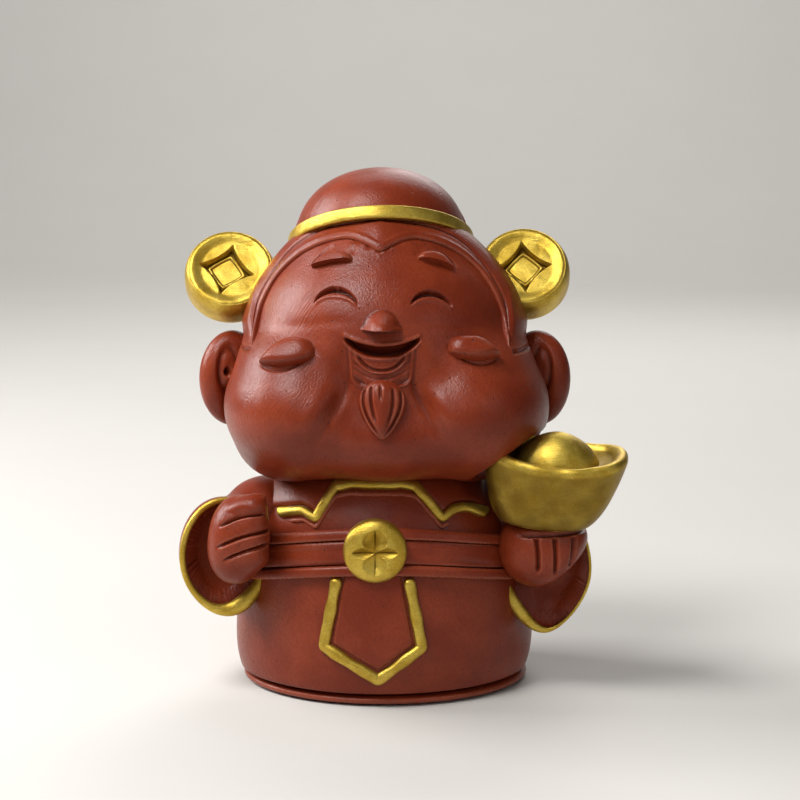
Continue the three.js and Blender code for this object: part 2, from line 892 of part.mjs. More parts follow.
// Fingers of a closed hand: eggs side by side, merged softly into the palm
function withFingers(palm, places, wide, deep, tall, turn) {
  return places.reduce(
    (form, at) => merge(form, egg(at, wide, deep, tall, turn), fingerMerge),
    palm,
  );
}

const rightArm = robeHalf(fistHeight);
const leftArm = robeHalf(palmHeight);
const fistForward = robeFlat * rightArm - fistBack;
const palmForward = robeFlat * leftArm - palmBack;

// The figure's right hand, a fist held to the sash with its fingers one above another
const fistAt = new THREE.Vector3(-rightArm, -fistForward, fistHeight);

function fistForm() {
  const palm = egg(fistAt, fistWide, fistDeep, fistTall);
  const lift = (fistTall - fingerThick * 0.6) / fingerCount;
  const places = [];
  for (let k = 0; k < fingerCount; k++) {
    const high = (k - (fingerCount - 1) / 2) * lift;
    places.push(new THREE.Vector3(fistWide * 0.22, -fistDeep * 0.28, high).add(fistAt));
  }
  const turn = new THREE.Euler(0, THREE.MathUtils.degToRad(-fingerLean), 0);
  return withFingers(palm, places, fingerLong, fingerThick * 1.5, fingerThick, turn);
}
const fistSurface = fistForm();
const fist = growable((grow) => castBall(fistSurface, fistAt, grow, handAround, handUpward));

// The figure's left hand, palm up, with its fingers side by side in front
const palmAt = new THREE.Vector3(leftArm + palmOut, -palmForward, palmHeight);

function palmForm() {
  const palm = egg(palmAt, palmWide, palmDeep, palmTall);
  const apart = (palmWide - fingerThick) / fingerCount;
  const places = [];
  for (let k = 0; k < fingerCount; k++) {
    const across = (k - (fingerCount - 1) / 2) * apart;
    places.push(new THREE.Vector3(across, -palmDeep * 0.36, 0).add(palmAt));
  }
  const turn = new THREE.Euler();
  return withFingers(palm, places, fingerThick, fingerThick * 1.3, fingerLong, turn);
}
const palmSurface = palmForm();
const palmHand = growable((grow) => castBall(palmSurface, palmAt, grow, handAround, handUpward));

// Ingot: a boat turned on a lathe, flattened, with its ends drawn up, and a dome in its hollow
const ingotTurn = new THREE.Euler(THREE.MathUtils.degToRad(ingotTilt), THREE.MathUtils.degToRad(ingotRoll), 0);
const ingotFrame = new THREE.Matrix4().makeRotationFromEuler(ingotTurn);
ingotFrame.setPosition(palmAt.x + ingotOut, palmAt.y - ingotAhead, palmHeight + ingotLift);

function ingotBoat(grow, hollow) {
  const half = ingotLong / 2;
  const foot = ingotFoot / 2;
  const outside = [
    [0, -grow],
    [foot + grow / 2, -grow],
    [THREE.MathUtils.lerp(foot, half, 0.62) + grow, ingotTall * 0.3],
    [THREE.MathUtils.lerp(foot, half, 0.86) + grow, ingotTall * 0.66],
    [half + grow, ingotTall + grow],
  ];
  const inside = hollow ? [
    [half - ingotLip, ingotTall + grow],
    [half * 0.72, ingotTall - ingotHollow * 0.8 + grow],
    [0, ingotTall - ingotHollow + grow],
  ] : [[0, ingotTall + grow]];
  const boat = latheSolid([...outside, ...inside], 28).scale(1, ingotDeep / ingotLong, 1);
  const spot = boat.attributes.position;
  for (let i = 0; i < spot.count; i++) {
    const along = spot.getX(i) / half;
    const high = Math.max(spot.getZ(i) / ingotTall, 0);
    spot.setX(i, spot.getX(i) + ingotFootShift * (1 - high));
    spot.setZ(i, spot.getZ(i) + ingotEndRise * along ** 2 * high ** 2);
  }
  return toSolid(boat.applyMatrix4(ingotFrame));
}

function ingotHull() {
  return largest(cutBy(ingotBoat(0, true), head(slip)));
}

function ingotDome() {
  const dome = new THREE.SphereGeometry(1, smallAround, smallUpward).rotateX(Math.PI / 2);
  dome.scale(ingotDomeWide / 2, ingotDomeDeep / 2, ingotDomeTall);
  dome.translate(ingotDomeShift, 0, ingotTall - ingotHollow + slip);
  const ball = toSolid(dome.applyMatrix4(ingotFrame));
  return largest(cutBy(ball, ingotBoat(slip, true), head(slip)));
}

// Sleeves: each bell is cut flat at its mouth, hollowed there and edged with a gold cuff
function armFrame({ at, turn }) {
  const frame = new THREE.Matrix4().makeRotationZ(turn);
  return frame.setPosition(at);
}

// How wide a mouth is at a share of the way up from its middle: it pinches in towards its foot
function pinchAt(up, pinch) {
  return 1 - pinch * THREE.MathUtils.clamp(-up, 0, 1) ** 2;
}

function bellForm({ tall, pinch }, frame) {
  const inward = frame.clone().invert();
  const bell = egg(new THREE.Vector3(), bellWide, bellDeep, tall);
  const q = new THREE.Vector3();
  return (p) => {
    q.copy(p).applyMatrix4(inward);
    q.x /= pinchAt(2 * q.z / tall, pinch);
    return bell(q);
  };
}

function sleeveBlock(arm, grow) {
  const frame = armFrame(arm);
  const out = robeHalf(chinHeight - armDrop) - armIn;
  const shoulder = new THREE.Vector3(arm.side * out, -armForward, chinHeight - armDrop);
  const surface = merge(
    bellForm(arm, frame),
    egg(shoulder, armWide, armDeep, armTall),
    boneMerge,
  );
  const back = new THREE.Vector3(0, bellDeep / 6, 0).applyMatrix4(frame);
  const body = castBall(surface, back, grow, handAround, handUpward);
  const front = new THREE.BoxGeometry(4 * bellWide, bellDeep, 3 * arm.tall);
  front.translate(0, -bellDeep / 2 - grow, 0);
  return body.subtract(toSolid(front.applyMatrix4(frame)));
}

function sleeve(arm) {
  const { tall, pinch } = arm;
  const frame = armFrame(arm);
  const bowl = new THREE.SphereGeometry(1, handAround, smallUpward).rotateX(Math.PI / 2);
  const spot = bowl.attributes.position;
  for (let i = 0; i < spot.count; i++) spot.setX(i, spot.getX(i) * pinchAt(spot.getZ(i), pinch));
  bowl.scale(bellWide / 2 - bellRim, bellHollow, tall / 2 - bellRim);
  return largest(cutBy(
    sleeveBlock(arm, 0),
    toSolid(bowl.applyMatrix4(frame)),
    head(slip),
    robe(slip),
    sashAll(slip),
    ...arm.held,
  ));
}

function cuff(arm) {
  const { tall, pinch } = arm;
  const frame = armFrame(arm);
  const middle = -(slip + cuffWide / 2);
  const ring = ringSolid((around, section) => {
    const out = cuffWide / 2 * Math.cos(section) - cuffWide / 2;
    const spot = new THREE.Vector3(
      (bellWide / 2 + out) * Math.cos(around) * pinchAt(Math.sin(around), pinch),
      middle - cuffWide / 2 * Math.sin(section),
      (tall / 2 + out) * Math.sin(around),
    );
    return spot.applyMatrix4(frame);
  }, 6);
  return largest(cutBy(ring, head(slip), robe(slip), sashAll(slip), ...arm.held));
}

const rightSleeve = {
  side: -1,
  at: new THREE.Vector3(-rightArm - rightMouthOut, fistAt.y + rightMouthBack, fistHeight - rightMouthDrop),
  tall: bellTall,
  turn: THREE.MathUtils.degToRad(rightMouthTurn),
  pinch: rightPinch,
  held: [fist(slip)],
};
const leftSleeve = {
  side: 1,
  at: new THREE.Vector3(leftArm + leftMouthOut, palmAt.y + leftMouthBack, palmHeight - leftMouthDrop),
  tall: bellTall + leftMouthMore,
  turn: THREE.MathUtils.degToRad(leftMouthTurn),
  pinch: leftPinch,
  held: [palmHand(slip), ingotBoat(slip, false)],
};

function fistHand() {
  return largest(cutBy(fist(), head(slip), robe(slip), sashAll(slip)));
}

function offeredHand() {
  const seat = ingotBoat(slip, false);
  return largest(cutBy(palmHand(), seat, head(slip), robe(slip), sashAll(slip)));
}

// The pieces, from the table up
addPiece(bodyGroup, "base_plate", basePlate(), redClay);
addPiece(bodyGroup, "robe_shell", robeShell(), redClay);
addPiece(bodyGroup, "collar_panel_right", collarPanel(-1), redClay);
addPiece(bodyGroup, "collar_panel_left", collarPanel(1), redClay);
addPiece(bodyGroup, "collar_trim", collarTrim(), goldPaint);
addPiece(bodyGroup, "apron_panel", apronPanel(), redClay);
addPiece(bodyGroup, "apron_trim", apronStrip(), goldPaint);
addPiece(bodyGroup, "sash_band", sash(), redClay);
addPiece(bodyGroup, "sash_cord_upper", sashRing(cordTall, cordThick, cordLift, 0), redClay);
addPiece(bodyGroup, "sash_cord_lower", sashRing(cordTall, cordThick, -cordLift, 0), redClay);
addPiece(bodyGroup, "belt_buckle", buckle(), goldPaint);
addPiece(bodyGroup, "sleeve_right", sleeve(rightSleeve), redClay);
addPiece(bodyGroup, "sleeve_left", sleeve(leftSleeve), redClay);
addPiece(bodyGroup, "cuff_trim_right", cuff(rightSleeve), goldPaint);
addPiece(bodyGroup, "cuff_trim_left", cuff(leftSleeve), goldPaint);
addPiece(bodyGroup, "hand_right", fistHand(), redClay);
addPiece(bodyGroup, "hand_left", offeredHand(), redClay);
addPiece(bodyGroup, "ingot_hull", ingotHull(), goldPaint);
addPiece(bodyGroup, "ingot_dome", ingotDome(), goldPaint);
addPiece(headGroup, "head_shell", headShell(), redClay);
addPiece(headGroup, "nose", nose(), redClay);
addPiece(headGroup, "beard", beard(), redClay);
addPiece(headGroup, "hood", hood(), redClay);
addPiece(headGroup, "hat_crown", hatCrown(), redClay);
addPiece(headGroup, "hat_back_tier", hatTier(), redClay);
addPiece(headGroup, "hat_band", hatBand(), goldPaint);
for (const [side, word] of [[-1, "right"], [1, "left"]]) {
  addPiece(headGroup, `eyebrow_${word}`, brow(side), redClay);
  addPiece(headGroup, `moustache_${word}`, moustache(side), redClay);
  addPiece(headGroup, `ear_${word}`, ear(side), redClay);
  addPiece(headGroup, `hat_coin_${word}`, coin(side), goldPaint);
}

export default figure;
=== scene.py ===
# %% [markdown]
# # A god of wealth in red clay
# This lesson dresses a small tea pet: a smiling figure of unglazed red clay, a hand tall, with gold
# paint on its trims, coins, buckle and ingot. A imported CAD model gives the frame. Its pieces have the
# right sizes and places but few faces, so each is replaced here by a finer surface in the same spot.
# Lengths in the lesson are millimetres, because that is how a modeller of clay thinks, and they
# become metres only when a mesh is made. The figure faces -Y and its own right hand is at -X.

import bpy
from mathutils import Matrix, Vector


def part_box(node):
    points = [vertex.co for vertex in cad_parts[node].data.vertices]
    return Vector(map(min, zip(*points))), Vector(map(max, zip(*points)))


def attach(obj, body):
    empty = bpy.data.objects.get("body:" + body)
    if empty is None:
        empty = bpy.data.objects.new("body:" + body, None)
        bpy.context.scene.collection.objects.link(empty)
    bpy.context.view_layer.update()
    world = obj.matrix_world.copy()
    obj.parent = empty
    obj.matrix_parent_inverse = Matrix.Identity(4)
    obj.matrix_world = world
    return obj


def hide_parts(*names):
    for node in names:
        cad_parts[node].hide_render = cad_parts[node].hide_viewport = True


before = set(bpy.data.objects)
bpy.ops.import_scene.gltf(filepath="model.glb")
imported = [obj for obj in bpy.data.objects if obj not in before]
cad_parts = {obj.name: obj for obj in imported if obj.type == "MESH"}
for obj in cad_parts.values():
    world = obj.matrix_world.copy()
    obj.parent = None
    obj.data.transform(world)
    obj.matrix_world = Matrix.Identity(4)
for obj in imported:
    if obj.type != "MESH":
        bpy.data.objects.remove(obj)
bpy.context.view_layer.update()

import math

import bpy
import numpy as np
from mathutils import Vector

mm = 0.001


def span(node):
    """A CAD node's lowest and highest corner in millimetres."""
    return [np.array(corner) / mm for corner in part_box(node)]


print("the frame holds", len(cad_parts), "nodes")

# %% [markdown]
# ## Forms that flow into each other
# Clay heads and fists are rolled as balls and pressed together, so a ball that is stretched three
# ways, an egg, is the natural building block. Metaballs or sculpting could do it too. Here each form
# is a rule that gives a point's distance from the surface, below zero inside, because two rules can
# be blended softly, grown by a fraction of a millimetre, and asked for at any fineness.

# %% Distances and soft joins
def ease(t):
    """0 up to t = 0, 1 from t = 1, and 3 t squared - 2 t cubed between them."""
    t = np.clip(t, 0, 1)
    return t * t * (3 - 2 * t)


def hump(t):
    """A smooth hump, e to the minus t squared: 1 in the middle and near 0 from t = 2."""
    return np.exp(-t * t)


def tilted(angle, axis):
    """The matrix that turns by an angle about x, y or z, with the right-hand rule."""
    c, s = math.cos(angle), math.sin(angle)
    rows = {
        "x": [[1, 0, 0], [0, c, -s], [0, s, c]],
        "y": [[c, 0, s], [0, 1, 0], [-s, 0, c]],
        "z": [[c, -s, 0], [s, c, 0], [0, 0, 1]],
    }
    return np.array(rows[axis])


def egg(centre, wide, deep, tall, turn=None, square=2.0):
    """Distance from an egg: with q the point over the half sizes, |q| (|q| - 1) / |q over them again|.
    The size |q| is the sum of its parts to the power square, to the root, so over 2 is boxier."""
    half = np.array([wide, deep, tall]) / 2

    def form(p):
        q = p - np.array(centre)
        if turn is not None:
            q = q @ turn
        q = q / half
        near = (np.abs(q) ** square).sum(-1) ** (1 / square)
        slope = np.linalg.norm(q / half, axis=-1)
        return near * (near - 1) / np.maximum(slope, 1e-9)

    return form


def flow(first, second, soft):
    """Two forms as one: the lesser distance, rounded off where they differ by less than soft."""
    def form(p):
        a, b = first(p), second(p)
        h = np.clip(0.5 + 0.5 * (b - a) / soft, 0, 1)
        return b * (1 - h) + a * h - soft * h * (1 - h)

    return form


def scoop(form, tool, soft):
    """A form with a tool's shape scooped out: the greater of form and minus tool, rounded off."""
    rest = flow(lambda p: -form(p), tool, soft)
    return lambda p: -rest(p)


print("an egg 2 mm wide measures", float(egg((0, 0, 0), 2, 2, 2)(np.array([3.0, 0, 0]))), "at 3 mm")

# %% [markdown]
# ## From a rule to a skin
# To get points on a form we stand at its heart, look out along a grid of directions, and halve the
# span that holds the surface until it is thin. A grid of directions crowds its points where the
# detail is, as on the face, and stays coarse at the back. A second helper finds the front of a form
# at a given x and z, which is how sprigs of clay are laid on it.

# %% Look out from a heart, or forward from the middle
halvings = 26
far_side = 60.0


def circle(count):
    """Evenly spaced angles once round, the last one a step short of the first."""
    return np.linspace(0, 2 * math.pi, count, endpoint=False)


def grid(rows, columns):
    """Two lists of values as a grid: one changes down its rows, the other along its columns."""
    return np.meshgrid(rows, columns, indexing="ij")


def crowd(low, high, count, dense, closed=False):
    """Values from low to high whose spacing is one over dense: its running sum is read backwards."""
    fine = np.linspace(low, high, 4000)
    share = np.cumsum(dense(fine))
    share = (share - share[0]) / (share[-1] - share[0])
    return np.interp(np.linspace(0, 1, count, endpoint=not closed), share, fine)


def sights(turns, rises):
    """Directions for each turn from the front and rise over the level: rows rise, columns turn."""
    turn, rise = np.meshgrid(turns, rises)
    across, forward = np.sin(turn) * np.cos(rise), np.cos(turn) * np.cos(rise)
    return np.stack([across, -forward, np.sin(rise)], axis=-1)


def all_round(columns, rows):
    """An even grid of directions with a pole below and one above."""
    turns = np.linspace(-math.pi, math.pi, columns, endpoint=False)
    return sights(turns, np.linspace(-math.pi / 2, math.pi / 2, rows))


def cast(form, heart, toward, grow=0.0):
    """Where each look from the heart meets the form: the span that holds it is halved many times."""
    low = np.zeros(toward.shape[:-1])
    high = np.full_like(low, far_side)
    for _ in range(halvings):
        middle = (low + high) / 2
        inside = form(heart + toward * middle[..., None]) < grow
        low, high = np.where(inside, middle, low), np.where(inside, high, middle)
    return heart + toward * ((low + high) / 2)[..., None]


def outward(form, p):
    """The way out of a form: how its distance changes along x, y and z, made one long."""
    step = 0.05
    slopes = [form(p + step * way) - form(p - step * way) for way in np.eye(3)]
    slopes = np.stack(slopes, axis=-1)
    return slopes / np.linalg.norm(slopes, axis=-1, keepdims=True)


def front_of(form, x, z):
    """The point of a form's front at x and z, found by looking forward from y = 0."""
    start = np.stack([x, np.zeros_like(x), z], axis=-1)
    return cast(form, start, np.broadcast_to([0, -1.0, 0], start.shape))


def laid_on(form, x, z, height):
    """A point above a form's front by a height, measured along the form's own way out."""
    foot = front_of(form, x, z)
    return foot + outward(form, foot) * height[..., None]


# %% [markdown]
# ## A finish as an equation
# Both finishes, burnished clay and gold paint, are mixed from patterns: clouds, grain, scratches and
# pits. Wiring them by hand is slow to read, so a small class lets Python's own + - * stand for Math
# nodes. Colours must not pass through a Math node, which would turn them grey, so they get a method
# of their own that uses Mix.

# %% The finish bench
class Wire:
    """A socket that Python can reckon with: a + b, 1 - a and so on each add a Math node."""
    def __init__(self, bench, socket):
        self.bench = bench
        self.socket = socket

    def __add__(self, other):
        return self.bench.reckon("ADD", self, other)

    def __sub__(self, other):
        return self.bench.reckon("SUBTRACT", self, other)

    def __rsub__(self, other):
        return self.bench.reckon("SUBTRACT", other, self)

    def __mul__(self, other):
        return self.bench.reckon("MULTIPLY", self, other)

    __radd__ = __add__

    def held(self, low, high):
        """The value moved so that low becomes 0 and high becomes 1, and held between them."""
        settings = {"interpolation_type": "SMOOTHSTEP"}
        sockets = {"Value": self, "From Min": low, "From Max": high}
        return self.bench.node("ShaderNodeMapRange", settings, sockets)


class Finish:
    """A material whose nodes are added by name and wired as they are made."""
    def __init__(self, name):
        self.material = bpy.data.materials.new(name)
        self.material.use_nodes = True
        self.tree = self.material.node_tree
        self.tree.nodes.clear()
        self.place = self.node("ShaderNodeTexCoord", out="Object")

    def node(self, kind, settings=None, sockets=None, out=0):
        """Any node: its type, then its settings, then values or wires for its sockets."""
        made = self.tree.nodes.new(kind)
        for key, value in (settings or {}).items():
            setattr(made, key, value)
        for key, value in (sockets or {}).items():
            if isinstance(value, Wire):
                self.tree.links.new(value.socket, made.inputs[key])
            else:
                made.inputs[key].default_value = value
        return Wire(self, made.outputs[out]) if made.outputs else made

    def reckon(self, kind, *values):
        return self.node("ShaderNodeMath", {"operation": kind}, dict(enumerate(values)))

    def mix(self, share, first, second):
        """Two colours in one, by share, through a colour Mix node."""
        settings = {"data_type": "RGBA"}
        return self.node("ShaderNodeMix", settings, {0: share, 6: first, 7: second}, out=2)

    def noise(self, size, detail=2.0, place=None, rough=0.5):
        """Noise whose blotches are about size millimetres across."""
        sockets = {
            "Vector": place or self.place,
            "Scale": 1 / (size * mm),
            "Detail": detail,
            "Roughness": rough,
        }
        return self.node("ShaderNodeTexNoise", {}, sockets)

    def drawn_out(self, turn, stretch):
        """Places turned about y, then squeezed along x, so that a pattern on them is drawn out."""
        turned = self.node("ShaderNodeMapping", {}, {"Vector": self.place, "Rotation": (0, turn, 0)})
        return self.node("ShaderNodeMapping", {}, {"Vector": turned, "Scale": (1 / stretch, 1, 1)})

    def mark(self, name):
        """A number that each point of a mesh carries, read by its name."""
        return self.node("ShaderNodeAttribute", {"attribute_name": name}, out="Fac")

    def bump(self, height):
        """A height in millimetres as a turned normal."""
        return self.node("ShaderNodeBump", {}, {"Strength": 1.0, "Distance": mm, "Height": height})

    def finish(self, sockets):
        surface = self.node("ShaderNodeBsdfPrincipled", {}, sockets)
        self.node("ShaderNodeOutputMaterial", {}, {"Surface": surface})
        print(self.material.name, "has", len(self.tree.nodes), "nodes")


def paint(hexed):
    """A colour as it is written for a screen, #rrggbb, turned into the linear light of a shader."""
    parts = [int(hexed[i:i + 2], 16) / 255 for i in (1, 3, 5)]
    linear = [c / 12.92 if c <= 0.04045 else ((c + 0.055) / 1.055) ** 2.4 for c in parts]
    return (*linear, 1.0)


# %% [markdown]
# ## Burnished red clay
# The clay is iron-red and unglazed. A maker rubs it with a horn tool while it is leather-hard, which
# leaves a satin skin with fine lines in the tool's direction, and the skin keeps small pits. Iron
# makes it a little uneven in colour. Raised edges are painted paler, partly as wear from rubbing and
# partly as painted sheen, and hollows are painted darker, partly as dust and partly as painted shade.
# Each mesh carries a mark, "proud", that is above a half on edges and below it in hollows, and the
# paler colour follows it up while the darker colour follows it down.

# %% Mix the clay
cloud_size, fleck_size, grain_size = 9, 0.5, 0.22
tool_line, tool_line_draw = 0.26, 16
tool_lean = {"right": math.radians(58), "left": math.radians(-62)}
pit_size = 1.5

clay = Finish("burnished_red_clay")
proud = clay.mark("proud")
cloud = clay.noise(cloud_size, 3)
fleck = clay.noise(fleck_size, 2)
grain = clay.noise(grain_size, 3, rough=0.65)
tool_right = clay.noise(tool_line, 1, clay.drawn_out(tool_lean["right"], tool_line_draw))
tool_left = clay.noise(tool_line, 1, clay.drawn_out(tool_lean["left"], tool_line_draw))
tool_where = clay.noise(7, 1).held(0.44, 0.6)
tooling = tool_right * tool_where + tool_left * (1 - tool_where)
pit = clay.node(
    "ShaderNodeTexVoronoi",
    {"feature": "F1"},
    {"Vector": clay.place, "Scale": 1 / (pit_size * mm), "Randomness": 1.0},
)
pits = (1 - pit.held(0.05, 0.13)) * clay.noise(4, 1).held(0.44, 0.56)

warm = clay.mix(cloud.held(0.36, 0.66), paint("#742913"), paint("#85351c"))
speckled = clay.mix(fleck.held(0.35, 0.75) * 0.35, warm, paint("#641f0e"))
# Painted sheen and wear: raised edges are painted a paler pink.
worn_and_sheen = clay.mix(proud.held(0.66, 0.98) * 0.4, speckled, paint("#a35b44"))
# Painted shade and dust: hollows are painted dark brown.
shade_and_dust = clay.mix((1 - proud.held(0.12, 0.46)) * 0.7, worn_and_sheen, paint("#3f1208"))
clay.finish({
    "Base Color": clay.mix(pits * 0.7, shade_and_dust, paint("#3f150b")),
    "Roughness": 0.25 + fleck * 0.13 + pits * 0.2 - proud.held(0.6, 0.95) * 0.05,
    "Specular IOR Level": 0.25,
    "Normal": clay.bump(tooling * 0.065 + grain * 0.03 - pits * 0.08 + cloud * 0.2),
})

# %% [markdown]
# ## Gold paint
# The gold is bronze powder in lacquer, brushed on by hand. It is metal, but each flake lies at its
# own angle, so it shines in grains and not as a mirror, and pale flecks in its colour are painted
# highlights. Where the brush was short of paint or hands have worn an edge, the clay shows through.
# In the hollows the colour is painted a dull olive, partly as pooled paint and partly as painted
# shade.

# %% Mix the gold
flake_size = 0.16
stroke_size, stroke_draw, stroke_lean = 0.3, 12, math.radians(6)

gold = Finish("gold_paint_on_clay")
proud = gold.mark("proud")
cloud = gold.noise(3.5, 2)
flake = gold.noise(flake_size, 3, rough=0.7)
stroke = gold.noise(stroke_size, 2, gold.drawn_out(stroke_lean, stroke_draw))
worn = gold.noise(0.9, 4, rough=0.7).held(0.66, 0.72) * proud.held(0.55, 0.75)
bright = gold.mix(cloud.held(0.35, 0.65), paint("#b9972f"), paint("#d3b54a"))
sparse = gold.mix((1 - flake.held(0.3, 0.5)) * 0.45, bright, paint("#84651c"))
streaked = gold.mix(stroke.held(0.45, 0.6) * 0.15, sparse, paint("#8f6c1c"))
# Painted highlights: pale flecks in the gold's colour.
painted_glint = gold.mix(flake.held(0.54, 0.74) * 0.5, streaked, paint("#fbedab"))
# Pooled paint and painted shade: hollows are painted a dull olive.
pooled_and_shaded = gold.mix((1 - proud.held(0.1, 0.45)) * 0.85, painted_glint, paint("#5f440c"))
gold.finish({
    "Base Color": gold.mix(worn, pooled_and_shaded, paint("#7e3526")),
    "Metallic": 0.86 - worn * 0.86,
    "Roughness": 0.29 + flake * 0.2 + worn * 0.1,
    "Normal": gold.bump(flake * 0.045 + stroke * 0.035 + cloud * 0.24 - worn * 0.03),
})

# %% [markdown]
# ## From a grid to a piece
# Every piece is one closed skin. A ball has a pole at each end and a ring joins up both ways, so two
# ways of sewing a grid are enough. The signed volume tells whether the skin faces out, and the proud
# mark comes from comparing the skin with a smoothed copy of itself.

# %% Sew a grid into a mesh
def rows_beside(p, closed_rows):
    """The row before and the row after each row: wrapped round, or an end row standing for itself."""
    if closed_rows:
        return np.roll(p, 1, axis=0), np.roll(p, -1, axis=0)
    return np.concatenate([p[:1], p[:-1]]), np.concatenate([p[1:], p[-1:]])


def blurred(p, steps, closed_rows):
    """Each point moved to the mean of its four neighbours, steps times over."""
    for _ in range(steps):
        before, after = rows_beside(p, closed_rows)
        p = (np.roll(p, 1, axis=1) + np.roll(p, -1, axis=1) + before + after) / 4
    return p


def patches(points, closed_rows):
    """Each point's patch of skin as a vector: the cross product of the grid's steps both ways."""
    before, after = rows_beside(points, closed_rows)
    return np.cross(np.roll(points, -1, axis=1) - np.roll(points, 1, axis=1), after - before)


def proudness(points, out, closed_rows):
    """0.5 on a plain surface, more on edges and less in hollows: the bend per millimetre, summed
    over both ways of the grid, softened a little and held between 0 and 1 by a tanh."""
    least_step, most_bend = 0.06, 8
    bend = np.zeros(points.shape[:2])
    for axis, closed in ((0, closed_rows), (1, True)):
        before, after = np.roll(points, 1, axis) - points, np.roll(points, -1, axis) - points
        if not closed:
            before[0], after[-1] = 0, 0
        far_before = np.maximum(np.linalg.norm(before, axis=-1, keepdims=True), least_step)
        far_after = np.maximum(np.linalg.norm(after, axis=-1, keepdims=True), least_step)
        turn = 2 * (before / far_before + after / far_after) / (far_before + far_after)
        bend -= (turn * out).sum(-1)
    bend[[0, -1]] *= closed_rows
    bend = blurred(np.clip(bend, -most_bend, most_bend)[..., None], 3, closed_rows)[..., 0]
    return 0.5 + 0.5 * np.tanh(bend / 2.0)


def placed(name, data):
    """A new object in the scene, at its origin."""
    made = bpy.data.objects.new(name, data)
    bpy.context.scene.collection.objects.link(made)
    return made


def smooth_mesh(name, places, faces):
    """A mesh object from places in metres and lists of corners, shaded smooth."""
    mesh = bpy.data.meshes.new(name)
    mesh.from_pydata(places.tolist(), [], faces)
    mesh.polygons.foreach_set("use_smooth", np.ones(len(mesh.polygons), bool))
    return placed(name, mesh)


def piece(name, points, finish, stands_for, ring=False, painted_shade_share=None):
    """A grid of points in mm, sewn as a ball or as a ring, with its finish, on the frame.

    Rows run from pole to pole, or round the section of a ring. Columns always join up. Where the
    shade share is 1, the proud mark falls to 0, so the finish paints shade there: dark clay or dull
    olive gold."""
    patch = patches(points, ring)
    hollow = np.zeros(points.shape[:2]) if painted_shade_share is None else painted_shade_share
    if ((points - points.mean(axis=(0, 1))) * patch).sum() < 0:
        points, patch, hollow = points[:, ::-1], -patch[:, ::-1], hollow[:, ::-1]
    rows, columns = points.shape[:2]
    out = patch / np.maximum(np.linalg.norm(patch, axis=-1, keepdims=True), 1e-12)
    # Painted shade: the proud mark is lowered by the shade share, which darkens the finish there.
    marks = proudness(points, out, ring) * (1 - hollow)
    if ring:
        index = np.arange(rows * columns).reshape(rows, columns)
        places, shares = points.reshape(-1, 3), marks.reshape(-1)
        lower, upper = index, np.roll(index, -1, axis=0)
        ends = []
    else:
        index = 1 + np.arange((rows - 2) * columns).reshape(rows - 2, columns)
        south, north = points[0].mean(0), points[-1].mean(0)
        places = np.concatenate([[south], points[1:-1].reshape(-1, 3), [north]])
        shares = np.concatenate([[0.5], marks[1:-1].reshape(-1), [0.5]])
        lower, upper = index[:-1], index[1:]
        first, last = index[0], index[-1]
        tip = len(places) - 1
        ends = np.stack([np.zeros_like(first), np.roll(first, -1), first], axis=-1).tolist()
        ends += np.stack([np.full_like(last, tip), last, np.roll(last, -1)], axis=-1).tolist()
    next_lower, next_upper = np.roll(lower, -1, axis=1), np.roll(upper, -1, axis=1)
    quads = np.stack([lower, next_lower, next_upper, upper], axis=-1).reshape(-1, 4)
    made = smooth_mesh(name, places * mm, quads.tolist() + ends)
    mark = made.data.attributes.new("proud", "FLOAT", "POINT")
    mark.data.foreach_set("value", shares.astype(np.float32))
    made.data.materials.append(finish.material)
    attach(made, "root")
    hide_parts(*stands_for)
    low, high = places.min(0), places.max(0)
    print(name, len(made.data.polygons), "faces,", np.round(high - low, 1), "mm at", np.round(low, 1))


# %% [markdown]
# ## The head
# The head is a hollow ball of clay: a skull, a brow dome under the hat, a jaw, a chin and two fat
# cheeks. The sizes below are the CAD model's own. The cheeks stay distinct because they are joined
# with a tighter flow than the bones, and the left one has room for the ingot pressed against it.

# %% The head's form
heart = np.array([0, 0, 56.0])
bone_flow, cheek_flow, pad_flow = 4, 2.3, 2.5
hat_lean = math.radians(21.5)
hat_turn = tilted(math.radians(-1.5), "y") @ tilted(-hat_lean, "x")
hat_place = np.array([-0.7, 4, 76.65])
dome_drop = 6.75


def in_hat(p):
    """A point of the hat's own frame, whose floor is the plane of the gold band, in the figure's."""
    return p @ hat_turn.T + hat_place


skull = egg((0, -1.5, 60), 47.2, 45, 42)
dome = egg(in_hat(np.array([0, 0, -dome_drop])), 31.4, 35, 21, hat_turn)
jaw = egg((0, -1, 50), 44, 40, 25)
chin = egg((-0.3, -6.2, 51), 26, 36.2, 24.4)
head = flow(flow(flow(skull, dome, bone_flow), jaw, bone_flow), chin, bone_flow)
for middle in (-13.3, 14.0):
    head = flow(head, egg((middle, -8.5, 50), 28.4, 36, 25.2), cheek_flow)
under_chin = egg((0.3, -7.4, 46.6), 40, 37, 19.2)
head = flow(head, under_chin, pad_flow)
for side in (-1, 1):
    jowl = egg((side * 17, -6, 43.2), 16, 24, 12.4)
    upper_cheek = egg((side * 12.8, -5.5, 58), 24, 33, 14)
    head = flow(flow(head, jowl, pad_flow), upper_cheek, 3)
beside_ingot = egg((28.4, -15, 39.8), 26.4, 17.6, 13.4, tilted(math.radians(-7), "z"), 2.6)
head = scoop(head, beside_ingot, 0.6)
chin_height = float(cast(head, heart, np.array([[0, 0, -1.0]]))[0, 2])
print("the chin is", round(chin_height, 1), "mm over the table")

# %% [markdown]
# ## The face
# The eyes, mouth and lip lines are pressed into the soft clay with a shaped stick, so they are
# heights over the head and not pieces. Each mark is a formula in x and z, seen from the front: an
# arch that rises in the middle, a depth that falls steeply at its upper edge and eases out below,
# and a fade to nothing at its ends. The nose is drawn forward out of the same clay, with a flat
# underside.

# %% Eyes
eye_deep = 1.35


